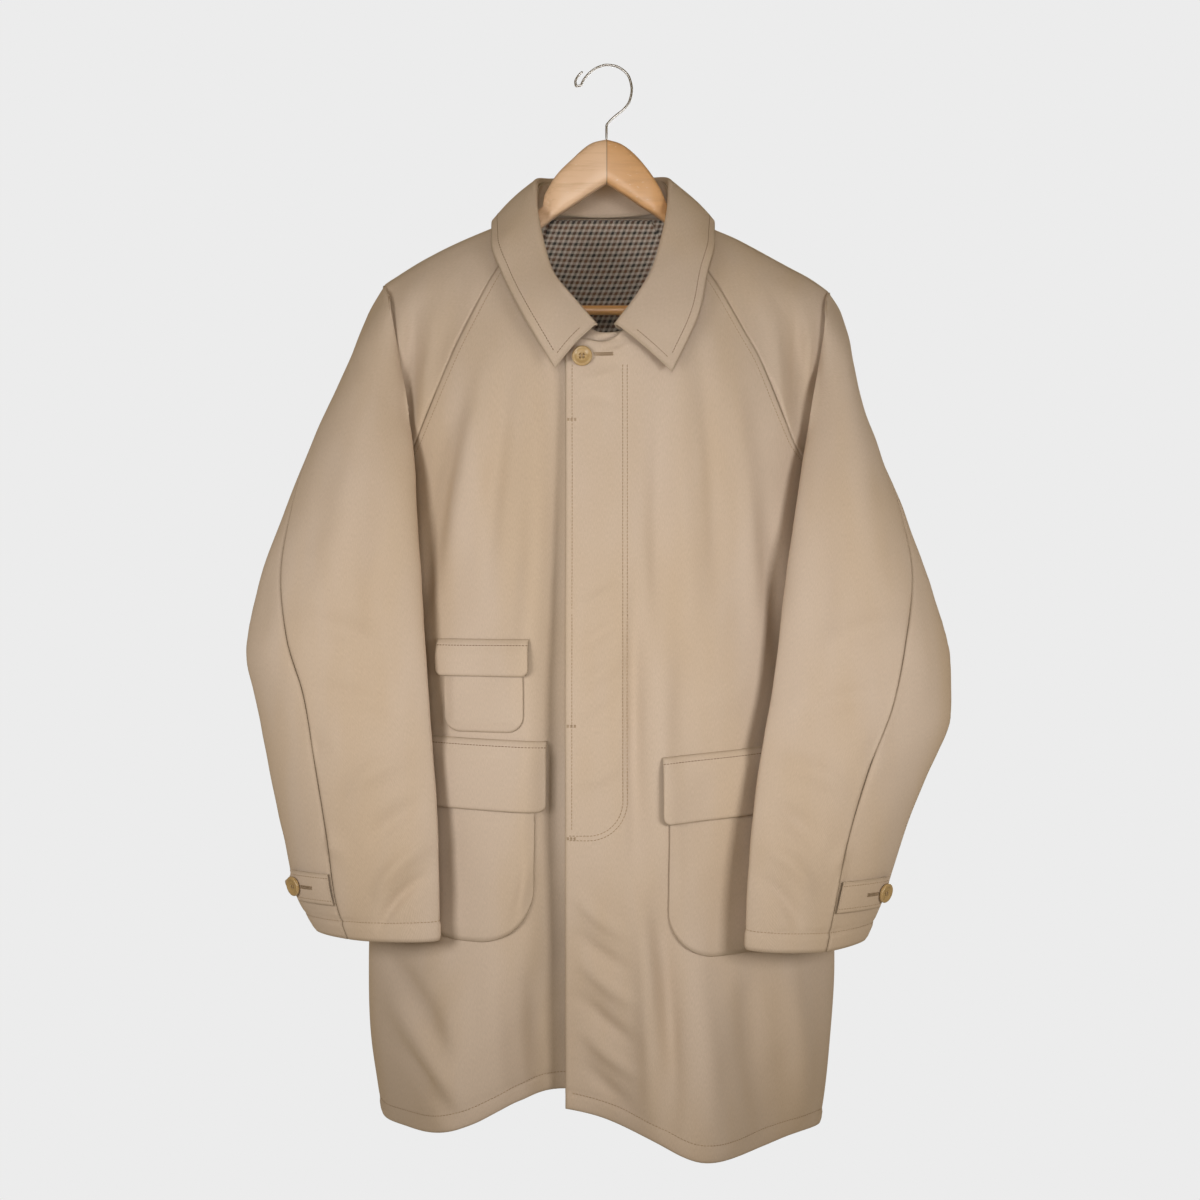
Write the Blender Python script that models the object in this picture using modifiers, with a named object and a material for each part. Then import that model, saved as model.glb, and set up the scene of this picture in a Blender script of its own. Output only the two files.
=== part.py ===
"""Balmacaan coat hung on its wooden hanger, as solid walls of cloth, wood and wire.

Sizes below are in millimetres and become metres as each mesh is made. The front faces -Y,
the wearer's left is +X and Z is up. The origin is the inside of the hook's top.
"""

import math

import bpy
import numpy as np
from mathutils import Vector

NAME = "balmacaan_coat"
MM = 0.001
CLOTH = 2.0
PATCH = 1.5
SEAM = 0.4
LIFT = 2.0
MID_Y = 12.0
LAP_STEP = 5.5
SHOULDER_FADE = 120.0
ROLL = 6.0
WIRE = 1.25
BAR_RADIUS = 5.0
BAR_Z = -249.0
BAR_HALF = 216.0
WOOD_UNDER_CLOTH = 4.2
BUTTON_RADIUS = 10.0
BUTTON_HEIGHT = 4.0

# Shoulder ridge: height of the coat's top line at each x
RIDGE = (
    # x, z
    (-260, -252),
    (-223, -218),
    (-187, -197),
    (-146, -176),
    (-110, -160),
    (-80, -148),
    (-40, -118),
    (-6, -105),
    (30, -118),
    (70, -147),
    (100, -160),
    (137, -177),
    (175, -197),
    (210, -217),
    (260, -252),
)

# Depth of the cloth before and behind the ridge, by the drop below it
DEPTH = (
    # drop, front, back
    (0, 0, 0),
    (4, 11, 10),
    (15, 21, 20),
    (40, 38, 32),
    (80, 60, 40),
    (140, 86, 45),
    (300, 100, 48),
    (600, 110, 50),
    (1000, 118, 56),
)

# Half widths of the body, and how far its section is pinched to a lens
SIDES = (
    # z, right, left, lens
    (-1095, 229, 220, 0.30),
    (-1045, 237, 227, 0.30),
    (-1004, 243, 231, 0.35),
    (-921, 246, 236, 0.45),
    (-800, 240, 231, 0.60),
    (-650, 228, 222, 0.58),
    (-500, 218, 216, 0.50),
    (-425, 212, 213, 0.40),
    (-360, 229, 227, 0.35),
    (-300, 240, 238, 0.35),
    (-240, 246, 244, 0.35),
    (-100, 250, 250, 0.30),
)

# Large folds of the fronts and the back: a line, its breadth, its rise, and if it runs out at the hem
FRONT_FOLDS = (
    # x_top, z_top, x_low, z_low, breadth, rise, low_end
    (-150, -820, -161, -1080, 52, 44, 1),
    (84, -860, 93, -1095, 60, 44, 1),
    (-36, -800, -38, -1050, 66, -30, 1),
    (-118, -320, -152, -540, 24, 8, 0),
    (-80, -390, -96, -620, 18, -4, 0),
    (98, -290, 112, -540, 24, 8, 0),
    (66, -380, 60, -640, 20, -4, 0),
)
BACK_FOLDS = (
    (-120, -760, -128, -1085, 50, 20, 1),
    (20, -700, 24, -1085, 46, -12, 1),
    (130, -780, 136, -1085, 50, 22, 1),
    (-70, -300, -96, -620, 34, 6, 0),
    (90, -320, 100, -640, 34, 6, 0),
)

# Raglan seams and the ridge points over them, from the neck to the armpit and shoulder point
RAGLAN = {
    # front_x, front_z, back_x, back_z, ridge_x
    "right": (
        (-79, -166, -76, -152, -80),
        (-110, -211, -106, -204, -112),
        (-139, -267, -138, -262, -143),
        (-165, -323, -165, -322, -174),
        (-194, -388, -194, -388, -204),
        (-212, -425, -212, -425, -229),
    ),
    "left": (
        (69, -166, 66, -152, 70),
        (104, -218, 100, -206, 104),
        (131, -264, 133, -262, 137),
        (156, -310, 160, -322, 170),
        (190, -388, 192, -388, 202),
        (213, -425, 213, -425, 229),
    ),
}
EDGE_Z = (-286, -306, -332, -364, -402, -446)
# Wider seam gaps at the sleeve's neck end and armpit, by row
ARMPIT_GAPS = ((0, 0.8), (1, 0.7), (5, 2.6), (6, 1.3), (7, 0.5))
NECK_PULL = (1.0, 0.62, 0.32, 0.12, 0.0, 0.0)

# Necklines of the fronts, from the opening edge to the raglan seam
NECKLINE = {
    # share, x, z
    "right": ((0, 24, -283), (0.32, -14, -282), (0.55, -45, -256), (0.80, -66, -213), (1, -79, -166)),
    "left": ((0, -40, -289), (0.40, 11, -288), (0.60, 40, -254), (0.82, 59, -210), (1, 69, -166)),
}
OPENING_X = {"right": 24, "left": -40}
TAB_Z = {"right": -835, "left": -840}
TAB_REACH = {"right": 17, "left": 13}

# Hems, from the opening edge to the side seam
HEM = {
    # share, z
    "right": (
        (0, -1036),
        (0.2, -1036),
        (0.29, -1041),
        (0.39, -1055),
        (0.5, -1066),
        (0.72, -1076),
        (0.85, -1078),
        (1, -1076),
    ),
    "left": (
        (0, -1050),
        (0.1, -1057),
        (0.2, -1067),
        (0.35, -1086),
        (0.45, -1088),
        (0.55, -1087),
        (0.68, -1085),
        (1, -1088),
    ),
}
BACK_HEM_MID = -1086
BODY_ROWS = (0.0, 0.12, 0.25, 0.38, 0.50, 0.62, 0.73, 0.83, 0.92, 1.0)

# Arm tubes: outer and inner edges seen from the front, their depth, and half the thickness
ARM = {
    # z, outer_x, outer_y, inner_x, inner_y, half_depth
    "right": (
        (-236, -240, 10, -222, -7, 10),
        (-280, -255, 8, -214, -14, 18),
        (-343, -282, 4, -204, -28, 27),
        (-405, -311, 1, -194, -40, 32),
        (-446, -326, -2, -191, -46, 34),
        (-508, -347, -5, -187, -53, 35),
        (-549, -360, -7, -184, -57, 35),
        (-592, -370, -10, -181, -62, 34),
        (-614, -367, -11, -179, -64, 33),
        (-651, -358, -13, -176, -69, 32),
        (-712, -346, -17, -170, -76, 30),
        (-773, -332, -20, -165, -82, 28),
        (-853, -312, -25, -163, -90, 26),
        (-876, -299, -26, -163, -92, 25),
        (-900, -282, -27, -165, -94, 25),
    ),
    "left": (
        (-236, 240, 10, 224, -7, 10),
        (-280, 244, 8, 220, -14, 17),
        (-343, 255, 4, 210, -28, 26),
        (-384, 272, 2, 203, -36, 29),
        (-426, 291, 0, 195, -44, 32),
        (-508, 322, -5, 182, -55, 35),
        (-549, 336, -7, 176, -60, 35),
        (-590, 347, -10, 170, -66, 34),
        (-634, 355, -12, 163, -71, 33),
        (-656, 353, -13, 160, -74, 32),
        (-692, 341, -20, 153, -84, 29),
        (-753, 313, -26, 144, -95, 26),
        (-833, 285, -34, 135, -105, 24),
        (-900, 257, -38, 133, -110, 23),
    ),
}
# Rows of the sleeve below the shoulder: heights on the overarm and underarm seams, and the underarm's angle
ARM_ROWS = {
    # over_z, under_z, under_angle
    "right": (
        (-250, -440, 252),
        (-280, -458, 246),
        (-324, -486, 238),
        (-382, -520, 229),
        (-450, -560, 221),
        (-520, -605, 214),
        (-585, -650, 209),
        (-645, -692, 206),
        (-715, -745, 206),
        (-785, -795, 206),
        (-845, -842, 206),
        (-884, -880, 206),
    ),
    "left": (
        (-250, -440, 252),
        (-280, -458, 246),
        (-324, -486, 238),
        (-382, -520, 229),
        (-450, -560, 221),
        (-520, -605, 214),
        (-590, -652, 209),
        (-650, -696, 206),
        (-720, -748, 206),
        (-790, -800, 206),
        (-852, -846, 206),
        (-893, -884, 206),
    ),
}
# Angle of the seams round the arm: 0 outer edge, 90 front, 180 inner edge
ARM_SEAMS = {
    # z, over
    "right": ((-236, 4), (-300, 12), (-400, 28), (-509, 47), (-600, 70), (-700, 75), (-900, 75)),
    "left": ((-236, 4), (-300, 12), (-400, 28), (-509, 47), (-600, 72), (-700, 83), (-900, 84)),
}

# Collar: the fold line, the outer edge with its lift off the cloth, and the neck seam below
COLLAR = (
    # fold_x, fold_y, fold_z, edge_x, edge_z, lift, face, neck_x, neck_z
    (-11, -92, -278, -51, -322, 13, -1, -15, -277),
    (-34, -72, -248, -83, -266, 12, -1, -45, -252),
    (-56, -49, -214, -105, -220, 11, -1, -66, -209),
    (-70, -18, -158, -117, -184, 10, -1, -76, -172),
    (-74, 14, -114, -116, -155, 0, -1, -79, -145),
    (-56, 50, -104, -92, -160, 9, 1, -52, -146),
    (-6, 62, -101, -6, -172, 10, 1, -6, -147),
    (44, 50, -103, 82, -160, 9, 1, 42, -146),
    (66, 14, -113, 109, -156, 0, -1, 70, -144),
    (62, -18, -154, 110, -184, 10, -1, 67, -172),
    (49, -49, -208, 101, -220, 11, -1, 59, -206),
    (32, -72, -244, 90, -268, 12, -1, 41, -250),
    (9, -92, -278, 64, -325, 13, -1, 14, -283),
)

# Patches on the fronts: inner and outer edges, heights there, corner radius, layer and gap below
PATCHES = {
    # side, x_in, x_out, top_in, top_out, low, corner, layer, gap
    "ticket_pocket": ("right", -82, -161, -592, -592, -679, 16, 0, 0.7),
    "ticket_flap": ("right", -76, -168, -588, -588, -624, 7, 1, 0.7),
    "hip_pocket_right": ("right", -72, -200, -692, -688, -886, 55, 0, LIFT),
    "hip_flap_right": ("right", -62, -208, -688, -684, -757, 8, 1, LIFT),
    "hip_pocket_left": ("left", 60, 190, -707, -700, -900, 48, 0, LIFT),
    "hip_flap_left": ("left", 53, 198, -703, -692, -768, 8, 1, LIFT),
}

# Hook wire, from the wood up and over to its end
HOOK = (
    # x, z
    (0, -75.5),
    (0, -62),
    (3, -57),
    (10, -50.5),
    (18, -44),
    (24, -35),
    (26, -24),
    (23.5, -12),
    (17, -4),
    (8, 0.5),
    (0, 1.3),
    (-9, -1.2),
    (-17, -6.5),
    (-23.5, -14),
    (-27, -20),
    (-31, -20.5),
    (-32, -16),
    (-29, -10),
    (-24.5, -5.5),
)

# Hanger yoke: tops of both arms and the underside at each reach, depth of its middle and thickness
YOKE = (
    # reach, top_right, top_left, under, y, thick
    (0, -76, -76, -121, 0, 18),
    (16, -80, -81, -131, 1, 18),
    (36, -96, -98, -144, 3, 18),
    (55, -116, -125, -156, 5, 17),
    (66, -134, -147, -164, 9, 13),
    (78, -152, -154, -172, 12, 14),
    (112, -165, -168, -190, 12, 15),
    (146, -181, -186, -208, 12, 15),
    (187, -202, -208, -230, 12, 14),
    (210, -215, -222, -243.6, 12, 13),
    (222, -223, -230, -243.6, 12, 11),
)

# Plain colours of the solids
COLOURS = {
    "cloth": (0.50, 0.38, 0.26, 1.0),
    "lining": (0.10, 0.08, 0.065, 1.0),
    "wood": (0.66, 0.42, 0.22, 1.0),
    "steel": (0.70, 0.69, 0.68, 1.0),
    "horn": (0.42, 0.28, 0.12, 1.0),
}


def through(table, column, at):
    """Smooth curve through one column of a table against its first: a cubic with mean slopes at the rows."""
    rows = np.array(table, float)
    rows = rows[np.argsort(rows[:, 0])]
    x, y = rows[:, 0], rows[:, column]
    step = np.diff(x)
    slope = np.diff(y) / step
    mean = (slope[:-1] * step[1:] + slope[1:] * step[:-1]) / (step[:-1] + step[1:])
    mean = np.where(slope[:-1] * slope[1:] <= 0, 0.0, mean)
    tangent = np.concatenate([slope[:1], mean, slope[-1:]])
    at = np.clip(np.asarray(at, float), x[0], x[-1])
    i = np.clip(np.searchsorted(x, at) - 1, 0, len(step) - 1)
    t = (at - x[i]) / step[i]
    rise = y[i] + t * t * (3 - 2 * t) * (y[i + 1] - y[i])
    return rise + step[i] * t * (1 - t) * ((1 - t) * tangent[i] - t * tangent[i + 1])


def ease(t):
    t = np.clip(t, 0, 1)
    return t * t * (3 - 2 * t)


def half_width(x, z):
    return np.where(np.asarray(x) < 0, through(SIDES, 1, z), through(SIDES, 2, z))


def fold_rise(x, z, folds):
    """Sum of soft ridges and troughs, each a bell across its own slanting line."""
    total = np.zeros(np.broadcast(x, z).shape)
    for x_top, z_top, x_low, z_low, breadth, rise, low_end in folds:
        along = np.clip((z_top - z) / (z_top - z_low), 0, 1)
        across = (x - x_top - (x_low - x_top) * along) / breadth
        strength = ease(along) if low_end else np.sin(np.pi * along) ** 2
        total = total + rise * strength * np.exp(-across * across)
    return total


def body(x, z, face):
    """Outer cloth over the hanger and torso: depth grows with the drop and closes to the side seams."""
    drop = np.clip(through(RIDGE, 1, x) - z, 0, 1000)
    share = np.clip(np.abs(x) / half_width(x, z), 0, 1)
    closing = np.sqrt(1 - share * share)
    lens = through(SIDES, 3, z)
    section = closing * (1 - lens + lens * closing)
    depth_rows = [(math.sqrt(row[0]), row[1], row[2]) for row in DEPTH]
    depth = through(depth_rows, 1 if face < 0 else 2, np.sqrt(drop))
    folds = fold_rise(x, z, FRONT_FOLDS if face < 0 else BACK_FOLDS)
    y = MID_Y + face * (depth * (1 - (1 - section) * ease(drop / SHOULDER_FADE)) + folds * closing)
    return np.stack(np.broadcast_arrays(x, y, z), -1)


def body_normal(x, z, face):
    """Outward direction of the cloth, from small steps across and down it."""
    d = 0.5
    across = body(x + d, z, face) - body(x - d, z, face)
    down = body(x, z + d, face) - body(x, z - d, face)
    return unit(np.cross(across, down)) * (1 if face < 0 else -1)


def unit(v):
    return v / np.maximum(np.linalg.norm(v, axis=-1, keepdims=True), 1e-9)


def grid_normals(grid):
    """Normals of a grid of points from the differences to its neighbours."""
    return unit(np.cross(np.gradient(grid, axis=1), np.gradient(grid, axis=0)))


def finish(obj, kind):
    material = bpy.data.materials.new(obj.name)
    material.use_nodes = True
    shader = material.node_tree.nodes["Principled BSDF"]
    shader.inputs["Base Color"].default_value = COLOURS[kind]
    shader.inputs["Roughness"].default_value = 0.25 if kind == "steel" else 0.7
    shader.inputs["Metallic"].default_value = 1.0 if kind == "steel" else 0.0
    obj.data.materials.clear()
    obj.data.materials.append(material)
    for old in list(obj.users_collection):
        old.objects.unlink(obj)
    bpy.data.collections[NAME].objects.link(obj)
    return obj


def mesh_object(name, points, faces, kind):
    mesh = bpy.data.meshes.new(name)
    mesh.from_pydata((np.asarray(points) * MM).tolist(), [], faces)
    mesh.update()
    obj = bpy.data.objects.new(name, mesh)
    bpy.context.scene.collection.objects.link(obj)
    return finish(obj, kind)


def shell(name, outer, normals, thick, kind="cloth"):
    """Closed wall: the outer grid, the same grid moved in by the thickness, and a rim round both."""
    rows, columns = outer.shape[:2]
    inner = outer - normals * thick
    index = np.arange(rows * columns).reshape(rows, columns)
    a, b = index[:-1, :-1], index[:-1, 1:]
    c, d = index[1:, 1:], index[1:, :-1]
    front = np.concatenate([np.stack(k, -1).reshape(-1, 3) for k in ((a, b, c), (a, c, d))])
    rim = np.concatenate([index[0, :-1], index[:-1, -1], index[-1, :0:-1], index[:0:-1, 0]])
    following = np.roll(rim, -1)
    size = rows * columns
    sides = [(following, rim, rim + size), (following, rim + size, following + size)]
    sides = np.concatenate([np.stack(k, -1) for k in sides])
    faces = np.concatenate([front, front[:, ::-1] + size, sides])
    points = np.concatenate([outer.reshape(-1, 3), inner.reshape(-1, 3)])
    corner = points[front]
    facing = np.cross(corner[:, 1] - corner[:, 0], corner[:, 2] - corner[:, 0])
    if (facing * normals.reshape(-1, 3)[front[:, 0]]).sum() < 0:
        faces = faces[:, ::-1]
    return mesh_object(name, points, faces.tolist(), kind)


def pulled_in(outer, ends=(True, True), wider=()):
    """The grid with its end columns moved in along its rows: a seam's gap, wider at some rows."""
    amount = np.full((len(outer), 1), SEAM / 2)
    for row, gap in wider:
        amount[row] = gap
    outer = outer.copy()
    for column, beside, wanted in ((0, 1, ends[0]), (-1, -2, ends[1])):
        if wanted:
            outer[:, column] += unit(outer[:, beside] - outer[:, column]) * amount
    return outer


def front_plan(side, columns):
    """x and z of a front's grid: rows from the neckline to the hem, columns from the opening to the seam."""
    u = np.linspace(0, 1, columns)
    rows_x, rows_z = [], []
    seam = RAGLAN[side]
    neck = NECKLINE[side]
    start = np.array([OPENING_X[side], EDGE_Z[0]])
    line = start + (np.array(seam[0][:2]) - start) * u[:, None]
    pull = np.stack([through(neck, 1, u), through(neck, 2, u)], -1) - line
    for row, edge_z, weight in zip(seam, EDGE_Z, NECK_PULL):
        start = np.array([OPENING_X[side], edge_z])
        plan = start + (np.array(row[:2]) - start) * u[:, None]
        bend = np.sin(np.pi / 2 * u) - u if weight == 0 else 0 * u
        plan = plan + weight * pull
        rows_x.append(plan[:, 0] + bend * (row[0] - OPENING_X[side]) * 0.5)
        rows_z.append(plan[:, 1])
    top_z = rows_z[-1]
    hem_z = through(HEM[side], 1, u)
    for share in BODY_ROWS[1:]:
        z = top_z + (hem_z - top_z) * share
        half = np.sign(seam[0][0]) * half_width(np.full_like(z, seam[0][0]), z)
        first = np.arcsin(OPENING_X[side] / half)
        rows_x.append(half * np.sin(first + (np.pi / 2 - first) * u))
        rows_z.append(z)
    return np.array(rows_x), np.array(rows_z)


def front_surface(side, x, z):
    """Outer cloth of a front, the right one set in where the left one laps over it."""
    points = body(x, z, -1)
    normals = body_normal(x, z, -1)
    points_x = np.abs(x) / half_width(x, z)
    sideways = np.stack([np.sign(x), 0 * x, 0 * x], -1)
    normals = unit(normals + (sideways - normals) * ease((points_x[..., None] - 0.97) / 0.03))
    if side == "right":
        points = points - normals * (LAP_STEP * ease((x + 80) / 36))[..., None]
    return points, normals


def make_front(side):
    x, z = front_plan(side, 13)
    points, normals = front_surface(side, x, z)
    points = pulled_in(points, (False, True))
    shell("front_" + side, points, normals, CLOTH)


def back_plan(columns):
    """x and z of the back's grid, from the right seams to the left ones."""
    u = np.linspace(0, 1, columns)
    across = np.linspace(-1, 1, columns)
    rows_x, rows_z = [], []
    for i in range(len(EDGE_Z)):
        right, left = RAGLAN["right"][i], RAGLAN["left"][i]
        last = i == len(EDGE_Z) - 1
        bend = np.sin(np.pi / 2 * across) * 0.5 + 0.5 if last else u
        rows_x.append(right[2] + (left[2] - right[2]) * bend)
        rows_z.append(right[3] + (left[3] - right[3]) * u + 4.0 * (1 - across**2) * (i == 0))
    top_z = rows_z[-1]
    hem = [(-1, HEM["right"][-1][1]), (0, BACK_HEM_MID), (1, HEM["left"][-1][1])]
    hem_z = through(hem, 1, across)
    for share in BODY_ROWS[1:]:
        z = top_z + (hem_z - top_z) * share
        rows_x.append(half_width(across, z) * np.sin(np.pi / 2 * across))
        rows_z.append(z)
    return np.array(rows_x), np.array(rows_z)


def back_surface(x, z):
    points = body(x, z, 1)
    normals = body_normal(x, z, 1)
    share = np.abs(x) / half_width(x, z)
    sideways = np.stack([np.sign(x), 0 * x, 0 * x], -1)
    return points, unit(normals + (sideways - normals) * ease((share[..., None] - 0.97) / 0.03))


def make_back():
    x, z = back_plan(17)
    points, normals = back_surface(x, z)
    shell("back", pulled_in(points), normals, CLOTH)
    inside = (slice(0, 5), slice(2, 15))
    lining = points[inside] - normals[inside] * (CLOTH + SEAM)
    lining[0, :, 2] -= 1.0
    shell("lining_back", lining, normals[inside], PATCH, "lining")


def arm(side, z, angle):
    """Point on the arm's tilted oval at each height, turned from its outer edge by the angle."""
    rows = ARM[side]
    outer = np.stack([through(rows, 1, z), through(rows, 2, z)], -1)
    inner = np.stack([through(rows, 3, z), through(rows, 4, z)], -1)
    middle, half = (outer + inner) / 2, (outer - inner) / 2
    ahead = unit(np.stack([half[..., 1], -half[..., 0]], -1)) * np.sign(half[..., :1])
    turn = np.radians(angle)[..., None]
    xy = middle + half * np.cos(turn) + ahead * (through(rows, 5, z)[..., None] * np.sin(turn))
    return np.concatenate([xy, np.asarray(z, float)[..., None]], -1)


def sleeve_surface(side, face, shares):
    """Rows of a sleeve half, from neck to cuff: first on the shoulder, then round the arm."""
    rows = []
    for row in RAGLAN[side]:
        ridge = np.array([row[4], through(RIDGE, 1, row[4])])
        seam = np.array(row[:2] if face < 0 else row[2:4])
        step = np.sign(shares) * np.abs(shares) ** 1.7
        beyond = step < 0
        plan = ridge + (seam - ridge) * np.abs(step)[:, None]
        here = body(plan[:, 0], plan[:, 1], face)
        there = body(plan[:, 0], plan[:, 1], -face)
        rows.append(np.where(beyond[:, None], there, here))
    for over_z, under_z, under in ARM_ROWS[side]:
        z = over_z + (under_z - over_z) * np.abs(shares)
        over = through(ARM_SEAMS[side], 1, over_z)
        reach = under - over if face < 0 else over + 360 - under
        rows.append(arm(side, z, over - face * reach * shares))
    return np.array(rows)


def make_sleeve(side, face):
    shares = np.linspace(0, 1, 9)
    step = 0.01
    grid = sleeve_surface(side, face, shares)
    across = sleeve_surface(side, face, shares + step) - sleeve_surface(side, face, shares - step)
    normals = unit(np.cross(across, np.gradient(grid, axis=0)))
    normals *= np.sign((normals[2, 4] * np.array([0, face, 0])).sum())
    name = "sleeve_" + side + ("_front" if face < 0 else "_back")
    shell(name, pulled_in(grid, wider=ARMPIT_GAPS), normals, CLOTH)


def collar_lines(samples):
    """Fold, edge and neck lines of the collar, sampled evenly along its rows."""
    rows = np.arange(len(COLLAR), dtype=float)
    at = np.linspace(0, len(COLLAR) - 1, samples)
    edges = []
    necks = []
    for row in COLLAR:
        point = body(np.array([row[3]]), np.array([row[4]]), row[6])[0]
        edges.append(point + np.array([0, row[6] * row[5], 0]))
        necks.append(body(np.array([row[7]]), np.array([row[8]]), row[6])[0])
    lines = []
    for points in ([row[:3] for row in COLLAR], edges, necks):
        table = np.column_stack([rows, np.array(points, float)])
        lines.append(np.stack([through(table, k, at) for k in (1, 2, 3)], -1))
    return lines


def collar_surface(samples, across, stand_rows):
    """Fall and stand: a bend over the fold line, then straight to the edge with a slight swell."""
    fold, edge, neck = collar_lines(samples)
    along = np.gradient(fold, axis=0)
    fall = unit(edge - fold)
    out = unit(np.cross(fall, along))
    out = out * np.sign((out * np.array([0, 1, 0])).sum(axis=1, keepdims=True) * np.sign(fold[:, 1:2] - 20))
    foot = fold - out * ROLL
    rise = unit(foot - neck)
    start = foot - rise * 3
    leave = fold + fall * 4
    bend = np.linspace(0, 1, 5)[None, :, None]
    hook = (
        (1 - bend) ** 3 * start[:, None]
        + 3 * (1 - bend) ** 2 * bend * (start + rise * 6)[:, None]
        + 3 * (1 - bend) * bend**2 * (leave - fall * 6)[:, None]
        + bend**3 * leave[:, None]
    )
    t = np.linspace(0, 1, across)[None, 1:, None]
    swell = 3 * np.sin(np.pi * t)
    flat = leave[:, None] + (edge - leave)[:, None] * t + out[:, None] * swell
    t = np.linspace(0, 1, stand_rows)[None, :, None]
    low = neck + rise * 0.8
    top = start - rise * SEAM
    stand = low[:, None] + (top - low)[:, None] * t
    return np.concatenate([hook, flat], axis=1), stand


def make_collar():
    fall, stand = collar_surface(31, 6, 3)
    for name, grid in (("collar_fall", fall), ("collar_stand", stand)):
        normals = grid_normals(grid)
        middle = len(grid) // 2
        if normals[middle, -1, 1] < 0:
            normals = -normals
        shell(name, grid, normals, CLOTH)


def make_patch(name):
    """Pocket or flap: a grid on the front, with rounded lower corners, moved out by its layer."""
    side, x_in, x_out, top_in, top_out, low, corner, layer, gap = PATCHES[name]
    columns = 13
    u = np.linspace(0, 1, columns)
    x = x_in + (x_out - x_in) * u
    from_end = np.minimum(np.abs(x - x_in), np.abs(x - x_out))
    short = np.clip(corner - from_end, 0, corner)
    bottom = low + corner - np.sqrt(corner**2 - short**2) + (top_out - top_in) * u
    top = top_in + (top_out - top_in) * u
    v = np.linspace(0, 1, 6)[:, None]
    z = top + (bottom - top) * v
    x = np.broadcast_to(x, z.shape)
    points, normals = front_surface(side, x, z)
    lift = gap + PATCH + layer * (PATCH + 0.5)
    shell(name, points + normals * lift, normals, PATCH)


def make_tab(side):
    """Cuff tab: a strip on the sleeve from the overarm seam, running straight on past its outer edge."""
    z_mid = TAB_Z[side]
    over = float(through(ARM_SEAMS[side], 1, z_mid)) - 1
    angle = np.linspace(over, 34, 6)
    heights = z_mid + np.array([15, 5, -5, -15])
    base = arm(side, *np.broadcast_arrays(heights[:, None], angle[None, :]))
    run = unit(base[:, -1] - base[:, -2])
    tail = base[:, -1] + run * 3
    tip_z = z_mid + np.array([7.5, 2.5, -2.5, -7.5])
    tip = arm(side, tip_z, np.full(4, angle[-1])) + run * (TAB_REACH[side] - np.array([8, 0, 0, 8]))[:, None]
    grid = np.concatenate([base, tail[:, None], tip[:, None]], axis=1)
    normals = grid_normals(grid)
    if normals[:, 0, 1].mean() > 0:
        normals = -normals
    grid = grid + normals * (LIFT + PATCH)
    shell("cuff_tab_" + side, grid, normals, PATCH)
    return grid[1:3, 5].mean(axis=0), unit(normals[1:3, 5].mean(axis=0))


def make_button(name, place, normal):
    bpy.ops.mesh.primitive_cylinder_add(vertices=24, radius=BUTTON_RADIUS * MM, depth=BUTTON_HEIGHT * MM)
    obj = bpy.context.object
    obj.name = obj.data.name = name
    obj.location = Vector((place + normal * (BUTTON_HEIGHT / 2 + 0.6)) * MM)
    obj.rotation_euler = Vector(normal).to_track_quat("Z", "Y").to_euler()
    bevel = obj.modifiers.new("rim", "BEVEL")
    bevel.width = 1.0 * MM
    bevel.segments = 2
    bevel.limit_method = "ANGLE"
    finish(obj, "horn")


def make_yoke():
    """Wooden yoke: eight-sided sections with eased edges, along both arms from end to end."""
    reach = [row[0] for row in YOKE]
    places = [-r for r in reversed(reach[1:])] + reach
    rings = []
    for x in places:
        right, left, under, y, thick = (float(through(YOKE, k, abs(x))) for k in (1, 2, 3, 4, 5))
        top = right if x < 0 else left
        if abs(x) >= 66:
            top = min(top, float(through(RIDGE, 1, x)) - WOOD_UNDER_CLOTH)
        half, ease_in = thick / 2, 4.5
        section = (
            (-half, under + 3),
            (-half, top - ease_in),
            (-half + ease_in, top),
            (half - ease_in, top),
            (half, top - ease_in),
            (half, under + 3),
            (half - 3, under),
            (-half + 3, under),
        )
        rings.append([(x, y + dy, z) for dy, z in section])
    count = len(rings[0])
    points = np.array(rings).reshape(-1, 3)
    faces = [list(range(count)), [len(points) - 1 - k for k in range(count)]]
    for i in range(len(rings) - 1):
        for k in range(count):
            nxt = (k + 1) % count
            faces.append([i * count + nxt, i * count + k, (i + 1) * count + k, (i + 1) * count + nxt])
    mesh_object("hanger_yoke", points, faces, "wood")


def make_wire(name, path, radius, kind):
    curve = bpy.data.curves.new(name, "CURVE")
    curve.dimensions = "3D"
    curve.bevel_depth = radius * MM
    curve.bevel_resolution = 2
    curve.use_fill_caps = True
    spline = curve.splines.new("POLY")
    spline.points.add(len(path) - 1)
    for point, (x, y, z) in zip(spline.points, path):
        point.co = (x * MM, y * MM, z * MM, 1)
    obj = bpy.data.objects.new(name, curve)
    bpy.context.scene.collection.objects.link(obj)
    finish(obj, kind)


def main():
    for obj in list(bpy.data.objects):
        bpy.data.objects.remove(obj)
    group = bpy.data.collections.new(NAME)
    bpy.context.scene.collection.children.link(group)
    make_yoke()
    make_wire("hanger_bar", [(-BAR_HALF, MID_Y, BAR_Z), (BAR_HALF, MID_Y, BAR_Z)], BAR_RADIUS, "wood")
    make_wire("hanger_hook", [(x, 0, z) for x, z in HOOK], WIRE, "steel")
    make_back()
    for side in ("right", "left"):
        make_front(side)
        make_sleeve(side, -1)
        make_sleeve(side, 1)
        place, normal = make_tab(side)
        make_button("button_cuff_" + side, place, normal)
    make_collar()
    for name in PATCHES:
        make_patch(name)
    x, z = np.array([-24.0]), np.array([-310.0])
    points, normals = front_surface("left", x, z)
    make_button("button_neck", points[0] + normals[0] * 0.2, normals[0])


main()
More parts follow.
